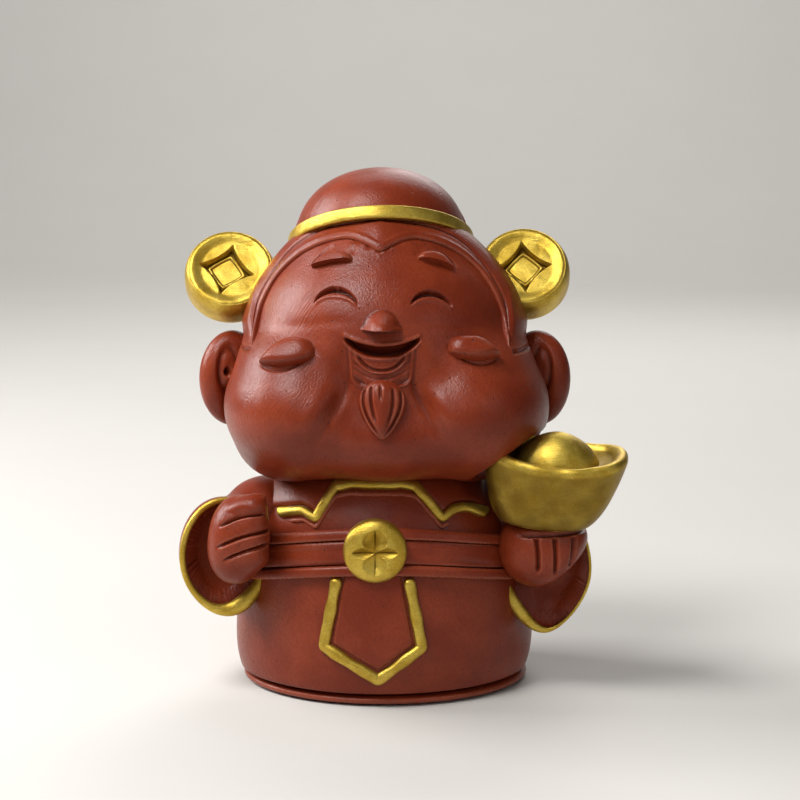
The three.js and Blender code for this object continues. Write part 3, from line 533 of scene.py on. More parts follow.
def eye_mark(x, z, middle, half, foot, rise, tip):
    """A dark crescent under an arch: it is cut steeply at the arch, eases out at its own thickness
    below it, and has a low ridge beyond. Both its arch and its thickness bow with (1 - t t)."""
    t = (x - middle) / half
    bow = np.maximum(1 - t * t, 0) ** 0.72
    down = foot + tip * t + rise * bow - z
    thick = 0.45 + 0.55 * bow
    cut = ease(down / 0.15) * (1 - ease((down - 0.6 * thick) / (0.55 * thick)))
    ridge = 0.14 * hump((down - 1.6 * thick) / 0.3)
    return (ridge - eye_deep * cut) * ease((1.05 - np.abs(t)) / 0.22)


# %% Mouth, lips and tongue
mouth_middle, mouth_half, mouth_deep = -0.25, 6.15, 2.8
mouth_top, corner_rise = 61.95, 1.4
mouth_foot, foot_rise = 60.05, 2.6
tongue_foot, tongue_half, tongue_rise = 57.95, 3.95, 2.3
lip_foot, lip_half, lip_rise = 56.65, 4.9, 2.0
tab_middle, tab_half, tab_foot = -0.35, 5.15, 55.3


def groove(distance, wide, deep):
    """A round-bottomed line pressed deep where the distance from it is under its width."""
    return -deep * hump(distance / wide)


def mouth_floor(x):
    """The height of the mouth's lower arc, which rises to the corners with the power 2.7."""
    return mouth_foot + foot_rise * np.abs((x - mouth_middle) / mouth_half) ** 2.7


def mouth_mark(x, z):
    """The open smile: from its upper arc the clay slopes in, and at the lower arc it steps out."""
    t = (x - mouth_middle) / mouth_half
    top = mouth_top + corner_rise * t * t
    foot = mouth_floor(x)
    across = ease((1.02 - np.abs(t)) / 0.06)
    slope = 0.62 + 0.38 * ease((top - z) / (top - foot + 0.4))
    hollow = slope * ease((top - z) / 0.22) * ease((z - foot + 0.03) / 0.22) * across
    near = ease((1.08 - np.abs(t)) / 0.12)
    rims = (0.22 * hump((z - top - 0.3) / 0.35) + 0.18 * hump((z - foot + 0.28) / 0.22)) * near
    return -mouth_deep * hollow + rims


def tongue_mark(x, z):
    """Two U lines for the tongue and a soft one for the lip: depth times a hump of the distance."""
    off = np.abs(x + 0.4)
    tongue = tongue_foot + tongue_rise * (off / tongue_half) ** 2.6
    outer = tongue_foot - 0.7 + tongue_rise * (off / (tongue_half + 0.75)) ** 2.3
    lip = lip_foot + lip_rise * (off / lip_half) ** 2
    below = ease((mouth_floor(x) - z - 0.15) / 0.35)
    first = groove(z - tongue, 0.24 + 0.05 * off, 0.5) * ease((4.1 - off) / 0.5)
    second = groove(z - outer, 0.2 + 0.05 * off, 0.2) * ease((4.8 - off) / 0.6)
    third = groove(z - lip, 0.4, 0.28) * ease((5.0 - off) / 1.2)
    roll = 0.2 * hump((z - (tongue + outer) / 2) / 0.26) * ease((4.3 - off) / 0.8)
    return (first + second + third + roll) * below


def tab_mark(x, z):
    """The tab of clay below the lip: a fine raised edge, a swelling in it and hollow corners."""
    inward = np.abs((x - tab_middle) / (tab_half - 0.06 * (62 - z)))
    down = np.clip((58.5 - z) / (58.5 - tab_foot), 0, None)
    off = (inward ** 4 + down ** 4) ** 0.25 - 1
    under_mouth = ease((61.8 - z) / 0.8)
    edge = 0.2 * hump((off - 0.02) / 0.045)
    corners = -0.4 * hump((inward - 0.72) / 0.25) * hump((down - 0.7) / 0.35)
    swelling = 0.35 * hump((x - tab_middle) / 3.6) * hump((z - 57.4) / 1.6)
    return (edge + corners * (off < 0) - 0.12 * ease(-off / 0.05) + swelling) * under_mouth


fold_middle, fold_half = -0.55, 5.3
fold_bend, fold_flare = 54.6, 0.6


def smile_fold(x, z):
    """The fold beside the chin: straight down from the mouth, then flaring out by a share of the
    drop. It is crisper on the chin's side, and beyond it the cheek swells a little."""
    drop = fold_bend - z
    middle = fold_half + fold_flare * 0.5 * (drop + np.sqrt(drop * drop + 3))
    off = (np.abs(x - fold_middle) - middle) / (1 + 0.17 * ease(drop / 3))
    ends = ease((64.5 - z) / 5) * ease((z - 43.5) / 8)
    wide = 1.0 + 0.3 * np.tanh(off / 0.8)
    return (0.42 * hump((off - 3.0) / 2.0) - 0.46 * hump(off / wide)) * ends


# %% The opening for the face
opening_middle, opening_half = -0.7, 22.5
opening_spring, opening_top = 60.0, 80.3
widow_dip, widow_half = 2.6, 6.2


def widow_point(x):
    """How far the opening dips in its middle: a share of the width left, to the power 1.5."""
    return widow_dip * np.clip(1 - np.abs(x - opening_middle) / widow_half, 0, 1) ** 1.5


def opening_arch(x):
    """The arch over the face, (1 - t to the 2.6) to the half, with a point that dips in its middle."""
    off = np.abs(x - opening_middle)
    t = np.clip(off / opening_half, 0, 1)
    arch = opening_spring + (opening_top - opening_spring) * np.sqrt(1 - t ** 2.6)
    return arch - widow_point(x)


# %% Nose and soft creases
nose_middle, nose_foot = -0.35, 64.5
nose_tall, nose_half, nose_proud = 2.85, 2.65, 3.3
nose_soft = 1.5


def nose_mark(x, z):
    """A dome over an oval, flowing softly into the face, and cut flat where z is under its foot."""
    x = x - nose_middle
    up = (z - nose_foot) / nose_tall
    wing = nose_half * (1 + 0.2 * hump(up / 0.2))
    ball = nose_proud * (1.1 - 1.1 * (x * x / wing ** 2 + np.maximum(up, 0) ** 2) ** 1.15)
    share = np.clip(0.5 + 0.5 * ball / nose_soft, 0, 1)
    raised = ball * share + nose_soft * share * (1 - share)
    return raised * ease((z - nose_foot + 0.15) / 0.3)


def crease_mark(x, z):
    """The soft line under each eye where the cheek starts."""
    level = 66.0 - 0.006 * x * x
    sides = ease((np.abs(x) - 4) / 4) * ease((21 - np.abs(x)) / 6)
    return -0.12 * hump((z - level) / 0.9) * sides


def opening_line(x, z):
    """The scored line where the face meets the hood: its distance is the drop over the slope."""
    step = 0.01
    drop = opening_arch(x) - z
    slope = (opening_arch(x + step) - opening_arch(x - step)) / (2 * step)
    off = drop / np.sqrt(1 + slope ** 2)
    above = ease((z - opening_spring + 0.5) / 1.5)
    return (groove(off - 0.1, 0.26, 1.5) + 0.12 * hump((off - 1.0) / 0.4)) * above


def brow_line(x, z, middle, half, foot, rise, tip):
    """A fine line scratched along a brow's upper edge, or a moustache pad's lower one, as an arch."""
    t = (x - middle) / half
    arch = foot + rise * (1 - t * t) + tip * t
    return groove(z - arch, 0.2, 0.3) * ease((1.05 - np.abs(t)) / 0.2)


# %% Press the face into the head
face_turn = math.radians(56)
face_low, face_high = math.radians(-30), math.radians(54)
face_crowd = 7


def busy_across(a):
    """How closely the columns stand: eight times closer over the face than behind."""
    return 1 + face_crowd * ease((face_turn - np.abs(a)) / 0.15)


def busy_up(a):
    """The same for the rows, which are close between the chin and the brim."""
    return 1 + face_crowd * ease((a - face_low) / 0.15) * ease((face_high - a) / 0.15)


turns = crowd(-math.pi, math.pi, 352, busy_across, closed=True)
rises = crowd(-math.pi / 2, math.pi / 2, 276, busy_up)
skin = cast(head, heart, sights(turns, rises))
way = outward(head, skin)
x, y, z = np.moveaxis(skin, -1, 0)
marks = (mouth_mark, tongue_mark, tab_mark, smile_fold, crease_mark, opening_line)
height = sum(mark(x, z) for mark in marks)
for eye in [(-7.9, 3.6, 68.8, 2.5, 0.0), (7.9, 3.4, 68.45, 2.3, -0.45)]:
    height = height + eye_mark(x, z, *eye)
brow_lines = [(-8.5, 3.9, 75.4, 1.7, 1.1), (8.6, 3.6, 75.2, 1.6, -0.95)]
pad_lines = [(-15.9, 4.7, 59.9, -1.9, 1.5), (14.7, 4.35, 60.7, -1.75, -1.1)]
for line in brow_lines + pad_lines:
    height = height + brow_line(x, z, *line)
faces_front = y < -6
skin = skin + way * (height * faces_front)[..., None]
skin[..., 1] -= nose_mark(x, z) * faces_front
# Painted shade in the pressed marks: deep grooves, the mouth and the eyes are painted darker through
# the proud mark, a little less in the eyes.
in_eyes = ease(z - 66) * (z < 74)
shade_in_marks = ease((-height - 0.3) / 1.2) * (0.6 - 0.2 * in_eyes) * faces_front
piece("clay_head", skin, clay, ["head_shell", "nose"], painted_shade_share=shade_in_marks)

# %% [markdown]
# ## Sprigs
# Brows, moustache and beard are sprigs: pads of clay shaped in the fingers, laid on with slip and
# smoothed down. One function makes them all. An outline is walked by one parameter, the way from its
# middle to its rim and back underneath by the other, and the pad's height over the head falls off
# towards the rim.

# %% Lay a pad of clay on a form
def sprig(name, form, middle, edge, high, sharp, node, fine=(44, 120), detail=None):
    """A pad on a form's front. Its height is high (1 - r to the power sharp) to the half, where r is
    the way from the middle to the rim; below, the skin closes a little under the form."""
    rows, columns = fine
    slope, turn = grid(np.linspace(0, math.pi, rows), circle(columns))
    r = np.sin(slope)
    rim_x, rim_z = edge(turn)
    x, z = middle[0] + rim_x * r, middle[1] + rim_z * r
    top = high * np.sqrt(np.maximum(1 - r ** sharp, 0))
    if detail is not None:
        top = top + detail(rim_x * r, rim_z * r, r)
    lift = np.where(slope < math.pi / 2, top, -0.5 * (1 - r ** 8) - 0.02)
    piece(name, laid_on(form, x, z, lift), clay, [node])


def leaf(half, high, low, lean, blunt=0.0, arch=0.0):
    """A leaf's rim: across is half cos, and up bows high or low with a power of sine. Blunt widens and
    rounds one end and draws the other to a point, and arch lifts the middle over the ends."""
    def edge(turn):
        across, up = np.cos(turn), np.sin(turn)
        bow = np.where(up > 0, high, low) * np.sign(up) * np.abs(up) ** (1.1 - 0.8 * blunt * across)
        bow = bow * (1 + blunt * across) + arch * (1 - across ** 2)
        c, s = math.cos(lean), math.sin(lean)
        return half * across * c - bow * s, half * across * s + bow * c

    return edge


brow_right = leaf(3.5, 0.68, 0.62, math.radians(15), 0.45, 0.8)
brow_left = leaf(3.1, 0.68, 0.6, math.radians(-21), -0.45, 0.7)
pad_right = leaf(4.65, 1.8, 1.8, math.radians(19), 0.45, 0.25)
pad_left = leaf(4.3, 1.65, 1.6, math.radians(-15), -0.45, 0.1)
sprig("clay_brow_right", head, (-8.6, 74.8), brow_right, 1.3, 6, "eyebrow_right")
sprig("clay_brow_left", head, (8.5, 74.75), brow_left, 1.3, 6, "eyebrow_left")
sprig("clay_moustache_right", head, (-15.9, 60.0), pad_right, 2.0, 4.2, "moustache_right")
sprig("clay_moustache_left", head, (14.7, 60.8), pad_left, 2.3, 4.2, "moustache_left")

# %% Beard with combed strands
beard_top, beard_tall, beard_half = 56.5, 9.6, 3.9
beard_middle = (-0.25, 52.5)


def beard_edge(turn):
    """A drop: round above, and below drawn to a tip as the sine falls to -1."""
    up = np.sin(turn)
    tall = np.where(up > 0, beard_top - beard_middle[1], beard_tall - beard_top + beard_middle[1])
    narrow = np.where(up > 0, 1.0, 1 - 0.4 * np.abs(up) ** 1.5)
    return beard_half * np.cos(turn) * narrow, tall * up


def strand(x, z, start, bend, deep, upper, lower):
    """One combed groove: it starts at a share of the width, bows out by bend and ends at the tip."""
    down = np.clip((beard_top - beard_middle[1] - z) / beard_tall, 0, 1)
    path = beard_half * (start * (1 - down ** 2.2) + bend * np.sin(math.pi * down))
    ends = ease((down - upper) / 0.12) * ease((lower - down) / 0.2)
    return groove(x - path, 0.26, deep) * ends


def strands(x, z, r):
    """Grooves along both borders, two combed between them, a short one, and a ridge in the middle."""
    borders = [(-0.62, -0.2, 0.55, 0.1, 0.98), (0.62, 0.2, 0.55, 0.15, 0.98)]
    combed = [(-0.42, -0.04, 0.5, 0.06, 0.8), (0.36, 0.1, 0.4, 0.1, 0.85)]
    short = [(-0.08, 0.02, 0.4, 0.05, 0.42)]
    lines = sum(strand(x, z, *line) for line in borders + combed + short)
    return lines * ease((1 - r) / 0.1) + 0.25 * hump(x / 1.3) * ease((1 - r) / 0.4)


sprig("clay_beard", head, beard_middle, beard_edge, 1.9, 2.4, "beard", (110, 220), strands)

# %% [markdown]
# ## Ears
# Each ear is a flattened ball luted to the side of the head. The maker's thumb left a bowl in front,
# with a rolled rim and a swelling in the middle. Carving with booleans would give hard edges, so the
# bowl is pushed back with a formula that depends on the distance from the ear's own middle. The
# vent beside the right ear lets steam out of the hollow head while it is fired.

# %% The two ears
ear_wide, ear_thick, ear_tall = 12.0, 8.0, 16.8
ear_aside, ear_height = 26.8, 53.5
ear_turn = math.radians(24)
swell_across, swell_up = 0.25, 0.2
swell_half, swell_tall = 0.3, 0.44
vent_across, vent_up = 0.3, 0.17


def ear(side, name, node):
    """An egg whose front has an oval valley round a swelling, open towards the head, and a flatter
    outer band: both are heights over the egg that depend on the place across and up it."""
    turn = tilted(-side * ear_turn, "z")
    middle = np.array([side * ear_aside, 0, ear_height])
    p = cast(egg(middle, ear_wide, ear_thick, ear_tall, turn), middle, all_round(180, 160))
    q = (p - middle) @ turn
    across, up = side * q[..., 0] / (ear_wide / 2), q[..., 2] / (ear_tall / 2)
    round_swell = np.hypot((across - swell_across) / swell_half, (up - swell_up) / swell_tall)
    valley = 0.6 * hump((round_swell - 1) / 0.3) * ease((across - swell_across + 0.35) / 0.3)
    tail = 0.45 * hump((np.hypot(across + 0.15, up + 0.45) - 0.5) / 0.12) * ease((across - 0.1) / 0.2)
    flat = 0.95 * ease((0.86 - np.hypot(across, up)) / 0.5)
    front = ease(-q[..., 1] / 1.2)
    vent = 1.8 * hump(np.hypot(across - vent_across, up - vent_up) / 0.075) * (side < 0)
    q[..., 1] += front * (flat + valley + tail + vent)
    piece(name, q @ turn.T + middle, clay, [node])


ear(-1, "clay_ear_right", "ear_right")
ear(1, "clay_ear_left", "ear_left")

# %% [markdown]
# ## The hood
# A close hood covers the head and frames the face with a rolled edge, scored once so that it reads
# as two cords, and smoothed flat where it passes in front of the ears. It is a sheet, so its skin
# goes from a pole at the back of the head out to the edge, over the rolled rim, and back underneath.
# Where the edge lies is found by walking out from the pole until the walk leaves the hood: into the
# face's opening in front, or below the hem behind the ears.

# %% Where the hood ends
hood_thick = 1.5


def hood_hem(y):
    """The height of the hem, falling from the ear's top to the nape in one soft S."""
    return 60.8 - 17.5 * ease((y - 1) / 19)


def beyond(p):
    """Above zero outside the hood: under the arch in front of the ears, or under the hem."""
    x, y, z = np.moveaxis(p, -1, 0)
    in_front = np.where(y < -4, opening_arch(x) - z, -50)
    return np.maximum(in_front, hood_hem(y) - z)


# %% Sew the hood
pole = tilted(math.radians(38), "x")
walk_count, hood_columns = 420, 430


def from_pole(out, angle):
    """Directions that lean by an angle out of the pole, each at its own angle round it."""
    level = np.sin(out)
    return np.stack([level * np.cos(angle), np.cos(out), level * np.sin(angle)], -1) @ pole.T


around_pole = circle(hood_columns)
walk = np.linspace(0, math.radians(150), walk_count)
out, angle = grid(walk, around_pole)
trail = beyond(cast(head, heart, from_pole(out, angle), hood_thick))
first_out = np.argmax(trail > 0, axis=0)
columns = np.arange(hood_columns)
before, after = trail[first_out - 1, columns], trail[first_out, columns]
edge_walk = walk[first_out - 1] + (walk[1] - walk[0]) * before / (before - after)
for _ in range(3):
    edge_walk = (np.roll(edge_walk, 1) + 2 * edge_walk + np.roll(edge_walk, -1)) / 4
farthest = np.round(np.degrees([edge_walk.min(), edge_walk.max()]))
print("the hood's edge lies", farthest, "degrees from its pole")

# %% Roll the hood's edge
rim_radius = 0.4
edge_high = 0.65
arm = 24.0
cord_wide, cord_deep = 0.34, 0.36
outer = crowd(0, 1, 150, lambda t: 1 + 12 * ease((t - 0.82) / 0.08))
bend = np.linspace(0, math.pi, 18)[1:-1]
inner = np.linspace(1, 0, 12)
share = np.concatenate([outer, np.ones(len(bend)), inner])
beside = np.concatenate([np.zeros(len(outer)), np.sin(bend), np.zeros(len(inner))])
lift = np.concatenate([np.ones(len(outer)), np.cos(bend), -np.ones(len(inner))])
share, beside, lift = (v[:, None] for v in (share, beside, lift))
away = edge_walk[None, :] * share + (beside - 1) * rim_radius / arm * np.minimum(share * 4, 1)
from_edge = (edge_walk[None, :] - away) * arm - rim_radius
at_edge = cast(head, heart, from_pole(edge_walk, around_pole), hood_thick)
beside_ear = ease((62.6 - at_edge[:, 2]) / 1.2) * ease((8 - at_edge[:, 1]) / 6)
edge_rise = edge_high * (1 - 0.8 * beside_ear)
rise = (hood_thick - edge_rise) * ease(from_edge / 6)
on_top = ease((at_edge[:, 2] - 70) / 8) * (at_edge[:, 1] < -4)
cord_away = 1.8 + on_top * (0.7 + widow_point(at_edge[:, 0]))
cord = groove(from_edge - cord_away, cord_wide, cord_deep) + 0.12 * hump((from_edge - 0.5) / 0.4)
cord = cord * (1 - beside_ear)
grow = edge_rise - rim_radius + lift * rim_radius + (rise + cord) * (lift > 0.99)
hood = cast(head, heart, from_pole(away, around_pole), grow)
# Painted shade in the groove between the two cords.
shade_in_cord = ease((-cord - 0.1) / 0.4) * (lift > 0.99)
piece("clay_hood", hood, clay, ["hood"], painted_shade_share=shade_in_cord)

# %% [markdown]
# ## The hat
# The hat leans back: a low round crown, a slightly larger tier behind it and a flat gold band round
# its foot. Crown and tier are surfaces of two angles in the hat's own frame, where the band's plane
# is the floor. The shape is a superegg, whose shoulders are fuller than an egg's.

# %% Crown, tier and band
hat_half, hat_half_deep = 15.5, 17.5
crown_tall = 12.6
under_share = 0.35


def power(value, exponent):
    """A value's size raised to an exponent, with its sign kept."""
    return np.sign(value) * np.abs(value) ** exponent


def superegg(half, deep, tall, full, columns=160, rows=100):
    """Sine and cosine raised to the power full: under 1 it gives full shoulders, over 1 a peak. The
    lower half is only a share as tall."""
    slope, turn = grid(np.linspace(-math.pi / 2, math.pi / 2, rows), circle(columns))
    flat = np.abs(np.cos(slope)) ** full
    high = power(np.sin(slope), full)
    high = np.where(high < 0, high * under_share, high)
    return np.stack([half * flat * np.cos(turn), deep * flat * np.sin(turn), tall * high], -1)


crown = superegg(hat_half - 0.4, hat_half_deep - 0.5, crown_tall, 0.9)
piece("clay_hat_crown", in_hat(crown), clay, ["hat_crown"])
tier = superegg(hat_half + 0.3, hat_half_deep - 2.8, crown_tall + 0.4, 0.9)
tier[..., 1] = np.maximum(tier[..., 1], -2.0) + 3.1
piece("clay_hat_tier", in_hat(tier), clay, ["hat_back_tier"])


def hoop(half, deep, thick, tall, square, rows=40, columns=260):
    """A ring round an oval whose section is a rounded oblong: sines raised to a power square."""
    section, turn = grid(circle(rows), circle(columns))
    out = thick / 2 * power(np.cos(section), square)
    up = tall / 2 * power(np.sin(section), square)
    return np.stack([(half + out) * np.cos(turn), (deep + out) * np.sin(turn), up], -1)


band = hoop(hat_half + 0.05, hat_half_deep + 0.05, 1.6, 2.3, 0.42)
band[..., :2] *= 1 + 0.06 * ease(band[..., 1:2] / 10)
piece("gold_hat_band", in_hat(band), gold, ["hat_band"], ring=True)

# %% [markdown]
# ## The coins
# Round coins stand for the wings of the hat. The face is slightly dished inside a raised rim, and a
# four-pointed hole is punched in its middle, with a small square standing in it. Face, side and back
# are one profile turned about the coin's axis, and the punch is a depth that depends on the place on
# the face: the sum of across and up, each raised to a power under 1, draws a star with hollow sides.

# %% Turn and punch the coins
coin_half, coin_face, coin_thick = 8.05, 7.2, 7.3
coin_up, coin_in = math.radians(33), math.radians(4)
coin_shift, coin_apart = -1.35, 25.6
star_reach, star_deep, star_power = 5.2, 1.5, 0.76
star_spin = {-1: math.radians(13), 1: math.radians(-5)}
star_aside = {-1: -0.6, 1: 0.0}
coin_height = {-1: 72.85, 1: 73.35}


def punched(side, across, up):
    """The punch's depth: a star of hollow sides, less a square that stands in its middle."""
    c, s = math.cos(star_spin[side]), math.sin(star_spin[side])
    across = across - star_aside[side]
    u, v = (across * c - up * s) / star_reach, (across * s + up * c) / star_reach
    star = (np.abs(u) ** star_power + np.abs(v) ** star_power) ** (1 / star_power)
    wall = ease((1.02 - star) / 0.2)
    block = (np.abs(u) ** 1.1 + np.abs(v + 0.04) ** 1.1) ** (1 / 1.1)
    ridge = 0.75 * ease((0.72 - block) / 0.12) - 0.25 * ease((0.58 - block) / 0.08)
    return star_deep * wall - ridge * wall


def coin(side, name, node):
    """The turned profile, from the middle of the back round the side to the middle of the face."""
    back = np.linspace(0, 1, 24)
    face = crowd(0, 1, 150, lambda t: 1 + 3 * ease((t - 0.1) / 0.1))[::-1]
    back_r = coin_half * np.sin(back * math.pi / 2) ** 0.7
    back_h = -coin_thick / 2 * np.cos(back * math.pi / 2) ** 0.42
    side_t = np.linspace(0, 1, 26)[1:]
    side_r = coin_half - (coin_half - coin_face) * side_t ** 3.2
    side_h = coin_thick / 2 * side_t
    rim = face * coin_face
    dish = 0.45 * ease((coin_face - 0.4 - rim) / 1.9)
    rim_h = coin_thick / 2 - dish - 0.12 * ease((rim - coin_face + 0.5) / 0.5)
    r = np.concatenate([back_r, side_r, rim[1:]])
    h = np.concatenate([back_h, side_h, rim_h[1:]])
    turn = circle(200)
    across, up = r[:, None] * np.cos(turn), r[:, None] * np.sin(turn)
    on_face = np.arange(len(r)) >= len(back_r) + len(side_r)
    depth = punched(side, across, up) * on_face[:, None]
    flat = np.stack([across, up, h[:, None] - depth], -1)
    looks = np.array([-side * math.sin(coin_in), -math.cos(coin_in), math.tan(coin_up)])
    looks = looks / np.linalg.norm(looks)
    right = np.cross(looks, [0, 0, 1.0])
    right = -right / np.linalg.norm(right)
    upright = np.cross(looks, right)
    middle = np.array([side * coin_apart + coin_shift, 0, coin_height[side]]) - looks * coin_thick / 2
    piece(name, flat @ np.stack([right, upright, looks]) + middle, gold, [node])


coin(-1, "gold_coin_right", "hat_coin_right")
coin(1, "gold_coin_left", "hat_coin_left")

# %% [markdown]
# ## Robe and base
# The robe is a barrel, fuller at the belly, flattened from front to back, and hollow. Its half width
# is one smooth curve of height. The skin runs up the outside, in under the head to the neck hole, and
# back down the inner wall. The base is a separate oval plate with a rounded edge and a drain hole,
# and the dark line over it is the joint that the maker left.

# %% The robe's form
robe_flat = 0.82
hem_height = 2.3
robe_heights = [hem_height, 10, 23, chin_height - 3, chin_height + 2]
robe_halves = [25.5, 26.4, 25.1, 21.5, 16.5]
robe_shift = -0.3
robe_curve = np.polyfit(robe_heights, robe_halves, 4)


def robe_half(z):
    """Half the robe's width at a height: the quartic through its five measured widths."""
    return np.polyval(robe_curve, np.clip(z, hem_height, chin_height + 2.5))


def robe(p):
    """Distance from the robe: how far out the point is, with y stretched, less the half width."""
    x, y, z = np.moveaxis(p, -1, 0)
    return np.hypot(x - robe_shift, y / robe_flat) - robe_half(z)


def round_robe(out, turn, z):
    """Points at a distance out from the robe's axis, flattened from front to back, at a height z."""
    return np.stack([robe_shift + out * np.cos(turn), robe_flat * out * np.sin(turn), z + 0 * turn], -1)


print("half widths every 6 mm:", np.round(robe_half(np.arange(2.3, 38, 6)), 1))

# %% Turn the robe and its base
wall = 3.0
neck_half = 5.5
up = np.linspace(0, 1, 130)
outer_z = hem_height + 0.5 + up * (chin_height + 1.5 - hem_height)
outer_r = robe_half(outer_z)
bend = np.linspace(0, math.pi / 2, 10)[1:]
shoulder_r = outer_r[-1] - 1.2 + 1.2 * np.cos(bend)
shoulder_z = outer_z[-1] + 1.2 * np.sin(bend)
top_r = np.linspace(shoulder_r[-1], neck_half, 14)[1:]
top_z = np.full(13, shoulder_z[-1]) - 3.0 * np.linspace(0, 1, 13) ** 2
ceiling = chin_height - wall - 0.3
inner_r = np.array([neck_half, neck_half + 0.3, 8, 12, 15.5])
inner_z = np.array([ceiling + 0.4, ceiling, ceiling, ceiling - 0.2, ceiling - 1.2])
down_z = np.linspace(ceiling - 3, hem_height + 0.3, 30)
down_r = robe_half(down_z) - wall
hem_r = np.array([down_r[-1] + 0.3, outer_r[0] - 0.5, outer_r[0] - 0.12])
hem_z = np.array([hem_height, hem_height, hem_height + 0.14])
section_r = np.concatenate([outer_r, shoulder_r, top_r, inner_r, down_r, hem_r])[:, None]
section_z = np.concatenate([outer_z, shoulder_z, top_z, inner_z, down_z, hem_z])[:, None]
turn = circle(260)[None, :]
slow_swell = 0.12 * np.sin(3 * turn + 0.7) * hump((section_z - 12) / 9)
quick_swell = 0.08 * np.sin(7 * turn + 1.9) * hump((section_z - 9) / 6)
robe_grid = round_robe(section_r + slow_swell + quick_swell, turn, section_z)
piece("clay_robe", robe_grid, clay, ["robe_shell"], ring=True)

base_low, base_high = span("base_plate")
base_half = (base_high[0] - base_low[0]) / 2
base_deep = (base_high[1] - base_low[1]) / 2
drain_half, drain_back = 4.5, 9.0
base_thick = base_high[2] - base_low[2]
section = circle(60)[:, None]
bulge = power(np.cos(section), 0.6)
rise = power(np.sin(section), 0.75) * base_thick / 2 + base_thick / 2
from_hole = np.clip((bulge + 1) / 2, 0, 1) ** 0.5
hole = np.stack([drain_half * np.cos(turn), drain_half * np.sin(turn) + drain_back], -1)
edge = np.stack([base_half * np.cos(turn), base_deep * np.sin(turn)], -1)
level = hole + (edge - hole) * from_hole[..., None]
plate = np.concatenate([level, (rise + 0 * turn)[..., None]], -1)
piece("clay_base", plate, clay, ["base_plate"], ring=True)

# %% [markdown]
# ## The sash
# A broad sash is wound round the belly between two rolled edges and rises to the buckle in front.
# Each part is a section carried round the robe. The section of the band is a rounded oblong with
# soft pulled folds, and that of an edge is nearly round.

# %% Wind the sash
sash_height, sash_rise, sash_tall = 22.8, 4.1, 7.8
cord_tall, cord_thick = 1.8, 1.7


def winding(tall, thick, lift, square, folds=0.0, rows=48):
    """A ring on the robe: its middle rises with the square of how far forward it is."""
    section, turn = grid(circle(rows), circle(420))
    forward = np.maximum(-np.sin(turn), 0)
    out = power(np.cos(section), square)
    up = power(np.sin(section), square)
    z = sash_height + sash_rise * forward ** 2 + lift + tall / 2 * up
    z = z + 0.12 * np.sin(5 * turn + lift) * (1 - forward)
    broad_fold = 0.6 * np.sin(up * 5.2 + 2.2 * np.sin(turn * 2 + 1) + 6 * np.cos(turn))
    fine_fold = 0.25 * np.sin(up * 9 - 4 * np.cos(turn))
    fold = folds * (broad_fold + fine_fold) * (out > 0.2)
    half = robe_half(z) + 0.15 + thick / 2 + thick / 2 * out + fold
    return round_robe(half, turn, z)


cord_lift = (sash_tall - cord_tall) / 2
broad = winding(sash_tall - 2 * cord_tall - 0.35, 1.15, 0, 0.5, 0.16, 64)
piece("clay_sash", broad, clay, ["sash_band"], ring=True)
for end, lift, node in [("top", cord_lift, "sash_cord_upper"), ("foot", -cord_lift, "sash_cord_lower")]:
    piece("clay_sash_" + end, winding(cord_tall, cord_thick, lift, 0.72), clay, [node], ring=True)

# %% [markdown]
# ## The buckle
# A gold button sits on the sash. Four leaf-shaped hollows meet in its middle, pressed with the edge
# of a tool, so each is deepest along its own length. It is a dome over a disc, and the leaves are a
# depth on it.

# %% Press the buckle
buckle_half, leaf_long = 5.35, 4.0
buckle_low, buckle_high = span("belt_buckle")


def leaves(across, up):
    """Depth of four leaves: along each arm the width is a sine, and across it the depth is a V."""
    depth = np.zeros_like(across)
    for spin, wide, deep in [(0, 0.95, 1.1), (90, 2.1, 2.0), (180, 0.95, 1.1), (270, 2.1, 1.3)]:
        c, s = math.cos(math.radians(spin)), math.sin(math.radians(spin))
        along, aside = across * c + up * s, -across * s + up * c
        t = np.clip(along / leaf_long, 0, 1)
        width = wide * np.sin(math.pi * t) ** 0.7 + 0.02
        v_shape = np.clip(1 - np.abs(aside) / width, 0, 1) ** 0.8
        depth = np.maximum(depth, deep * v_shape * np.sin(math.pi * t ** 0.7) * (along > 0))
    return depth + 0.35 * hump(np.hypot(across, up) / 0.8)


back_rows, side_rows, face_rows = 7, 8, 109
button_back, button_edge, dome_tall = -1.2, 0.4, 1.75
inward = np.linspace(1, 0, face_rows + 1)[1:]
r = np.concatenate([np.linspace(0, 1, back_rows + 1)[:-1], np.ones(side_rows), inward])[:, None]
front = np.concatenate([
    np.full(back_rows, button_back),
    np.linspace(button_back, button_edge, side_rows),
    button_edge + dome_tall * np.sqrt(1 - inward ** 2.6),
])[:, None]
on_face = (np.arange(len(r)) >= back_rows + side_rows)[:, None]
across, up = buckle_half * r * np.cos(circle(200)), buckle_half * r * np.sin(circle(200))
front = front - on_face * leaves(across, up) * ease(buckle_half * (1 - r))
buckle_x, _, buckle_z = (buckle_low + buckle_high) / 2
buckle_foot = front_of(robe, np.array([buckle_x]), np.array([buckle_z]))[0, 1] - 1.2
button = np.stack([across + buckle_x, buckle_foot - front, up + buckle_z], -1)
piece("gold_buckle", button, gold, ["belt_buckle"])

# %% [markdown]
# ## Trims along a line
# The gold trims are thin rolls of clay laid along a drawn line and painted. A path is a line of a few
# corners, filled with many points and softened, and a half-round section is carried along it. At
# both ends the section shrinks to a point, which closes the skin.

# %% Carry a roll along a path
line_step = 0.12


def drawn(corners, soft):
    """A line through its corners at an even step, with each corner softened by a running mean."""
    corners = np.array(corners, float)
    lengths = np.linalg.norm(np.diff(corners, axis=0), axis=1)
    way = np.concatenate([[0], np.cumsum(lengths)])
    at = np.linspace(0, way[-1], int(way[-1] / line_step))
    line = np.stack([np.interp(at, way, corners[:, k]) for k in (0, 1)], -1)
    for _ in range(soft):
        line[1:-1] = (line[:-2] + 2 * line[1:-1] + line[2:]) / 4
    return line


